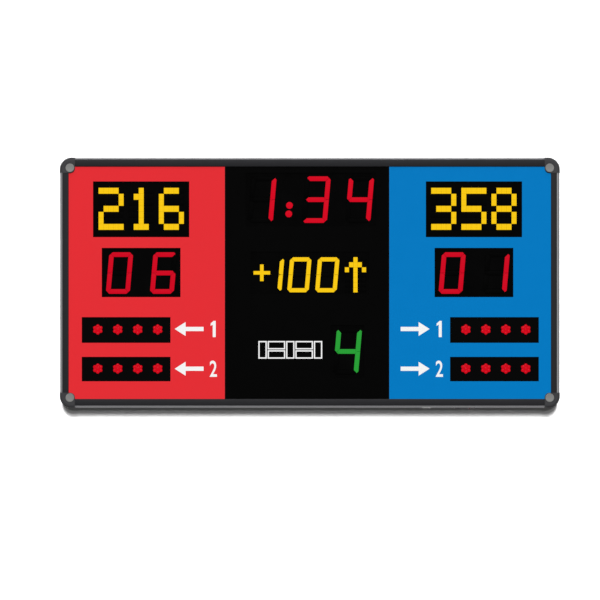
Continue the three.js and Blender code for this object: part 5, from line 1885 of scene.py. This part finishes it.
@dataclass(frozen=True)
class ParallelLight:
    """A far softbox: its direction, its size as an angle, and the share of light on a face."""

    name: str
    azimuth: float
    elevation: float
    angle: float
    share: float

    def build(self) -> None:
        """Adds the lamp. The share is what a surface that faces the viewer or wall receives."""
        lamp = bpy.data.lights.new(self.name, type="SUN")
        turn, rise = math.radians(self.azimuth), math.radians(self.elevation)
        source = Vector(
            (math.sin(turn) * math.cos(rise), -math.cos(turn) * math.cos(rise), math.sin(rise))
        )
        lamp.energy = math.pi * self.share / abs(source.y)
        lamp.angle = math.radians(self.angle)
        made = bpy.data.objects.new(self.name, lamp)
        made.rotation_mode = "QUATERNION"
        made.rotation_quaternion = source.to_track_quat("Z", "Y")
        made.location = source * 4
        bpy.context.scene.collection.objects.link(made)


@dataclass
class Studio:
    """A white wall, a pale floor, soft light and the photograph's camera, in metres."""

    image_width: float = 2.4013
    aim_x: float = -0.0392
    aim_z: float = -0.449
    distance: float = 8.0
    front: float = -0.0867
    wall_y: float = 0.002
    floor_z: float = -1.75
    stage_size: float = 16.0
    fill: float = 0.05
    paper: float = 0.4
    lights: tuple[ParallelLight, ...] = (
        ParallelLight("key_low", 0, 11.3, 4.5, 0.06),
        ParallelLight("key_middle", 0, 19.3, 4.5, 0.175),
        ParallelLight("key_high", 0, 23.6, 5, 0.265),
        ParallelLight("key_top", 0, 26.9, 4.5, 0.36),
        ParallelLight("overhead", 0, 72, 30, 0.09),
        ParallelLight("rear_left", 145, 30, 20, 0.42),
        ParallelLight("rear_right", 215, 30, 20, 0.42),
    )

    def build(self) -> None:
        """Makes the stage, the lamps, the world and the camera."""
        bpy.context.scene.view_settings.view_transform = "Standard"
        paper = self._paper()
        wall = Matrix.Translation((0, self.wall_y, 0)) @ Matrix.Rotation(math.pi / 2, 4, "X")
        self._sheet("studio_wall", wall, paper)
        self._sheet("studio_floor", Matrix.Translation((0, 0, self.floor_z)), paper)
        for light in self.lights:
            light.build()
        self._world()
        self._camera()

    def _sheet(self, name: str, place: Matrix, material: bpy.types.Material) -> None:
        """Adds one flat sheet of the stage.

        Args:
            name: the sheet's name.
            place: where it lies.
            material: its material.
        """
        sheet = bmesh.new()
        half = self.stage_size / 2
        bmesh.ops.create_grid(sheet, x_segments=1, y_segments=1, size=half, matrix=place)
        mesh = bpy.data.meshes.new(name)
        sheet.to_mesh(mesh)
        sheet.free()
        mesh.materials.append(material)
        made = bpy.data.objects.new(name, mesh)
        bpy.context.scene.collection.objects.link(made)

    def _paper(self) -> bpy.types.Material:
        """White paper that a camera sees from its front only, and that keeps shadows.

        Other rays pass it, so lamps behind the wall light the rear of the board, and metal shows
        the white of the world. Two diffuse layers let paper that is fully lit clip to white.

        Returns:
            The material.
        """
        material = bpy.data.materials.new("white_paper_rolled")
        material.use_nodes = True
        tree = material.node_tree
        tree.nodes.remove(tree.nodes["Principled BSDF"])
        white = add_node(tree, "BsdfDiffuse", {"Color": linear("#FFFFFF")})
        more = add_node(tree, "BsdfDiffuse", {"Color": (*[self.paper] * 3, 1.0)})
        bright = add_node(tree, "AddShader", links={0: white.outputs[0], 1: more.outputs[0]})
        clear = add_node(tree, "BsdfTransparent")
        camera = add_node(tree, "LightPath").outputs["Is Camera Ray"]
        behind = add_node(tree, "NewGeometry").outputs["Backfacing"]
        rays = {0: camera, 1: behind}
        seen = add_node(tree, "Math", links=rays, operation="SUBTRACT", use_clamp=True)
        choice = {0: seen.outputs[0], 1: clear.outputs[0], 2: bright.outputs[0]}
        mixed = add_node(tree, "MixShader", links=choice)
        tree.links.new(mixed.outputs[0], tree.nodes["Material Output"].inputs["Surface"])
        return material

    def _world(self) -> None:
        """A world that is white to the camera and in gloss, and a soft fill otherwise."""
        world = bpy.data.worlds.new("studio")
        world.use_nodes = True
        bpy.context.scene.world = world
        tree = world.node_tree
        tree.nodes.clear()
        path = add_node(tree, "LightPath").outputs
        seen = path["Is Camera Ray"]
        for kind in ("Is Glossy Ray", "Is Transmission Ray"):
            rays = {0: seen, 1: path[kind]}
            seen = add_node(tree, "Math", links=rays, operation="ADD").outputs[0]
        rays = {0: seen, 1: path["Diffuse Depth"]}
        direct = add_node(tree, "Math", links=rays, operation="SUBTRACT", use_clamp=True)
        soft, white = (
            add_node(tree, "Background", {"Color": linear("#FFFFFF"), "Strength": strength})
            for strength in (self.fill, 1.0)
        )
        choice = {0: direct.outputs[0], 1: soft.outputs[0], 2: white.outputs[0]}
        mixed = add_node(tree, "MixShader", links=choice)
        add_node(tree, "OutputWorld", links={"Surface": mixed.outputs[0]})

    def _camera(self) -> None:
        """A long lens straight in front, on the middle of the photograph's frame."""
        lens = bpy.data.cameras.new("photo_camera")
        lens.sensor_width = 36.0
        lens.lens = lens.sensor_width * self.distance / self.image_width
        lens.clip_end = 100.0
        camera = bpy.data.objects.new("photo_camera", lens)
        camera.location = (self.aim_x, self.front - self.distance, self.aim_z)
        camera.rotation_euler = (math.pi / 2, 0, 0)
        bpy.context.scene.collection.objects.link(camera)
        bpy.context.scene.camera = camera


def main() -> None:
    """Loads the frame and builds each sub-assembly in turn."""
    logging.basicConfig(level=logging.INFO, format="%(name)s: %(message)s")
    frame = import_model()
    datum = Datum(frame["nodes"])
    CaseFrame(datum).build()
    FrontPanels(datum).build()
    Displays(datum).build()
    Rear(datum).build()
    Electronics(datum).build()
    Underside(datum).build()
    Studio().build()


if __name__ == "__main__":
    main()
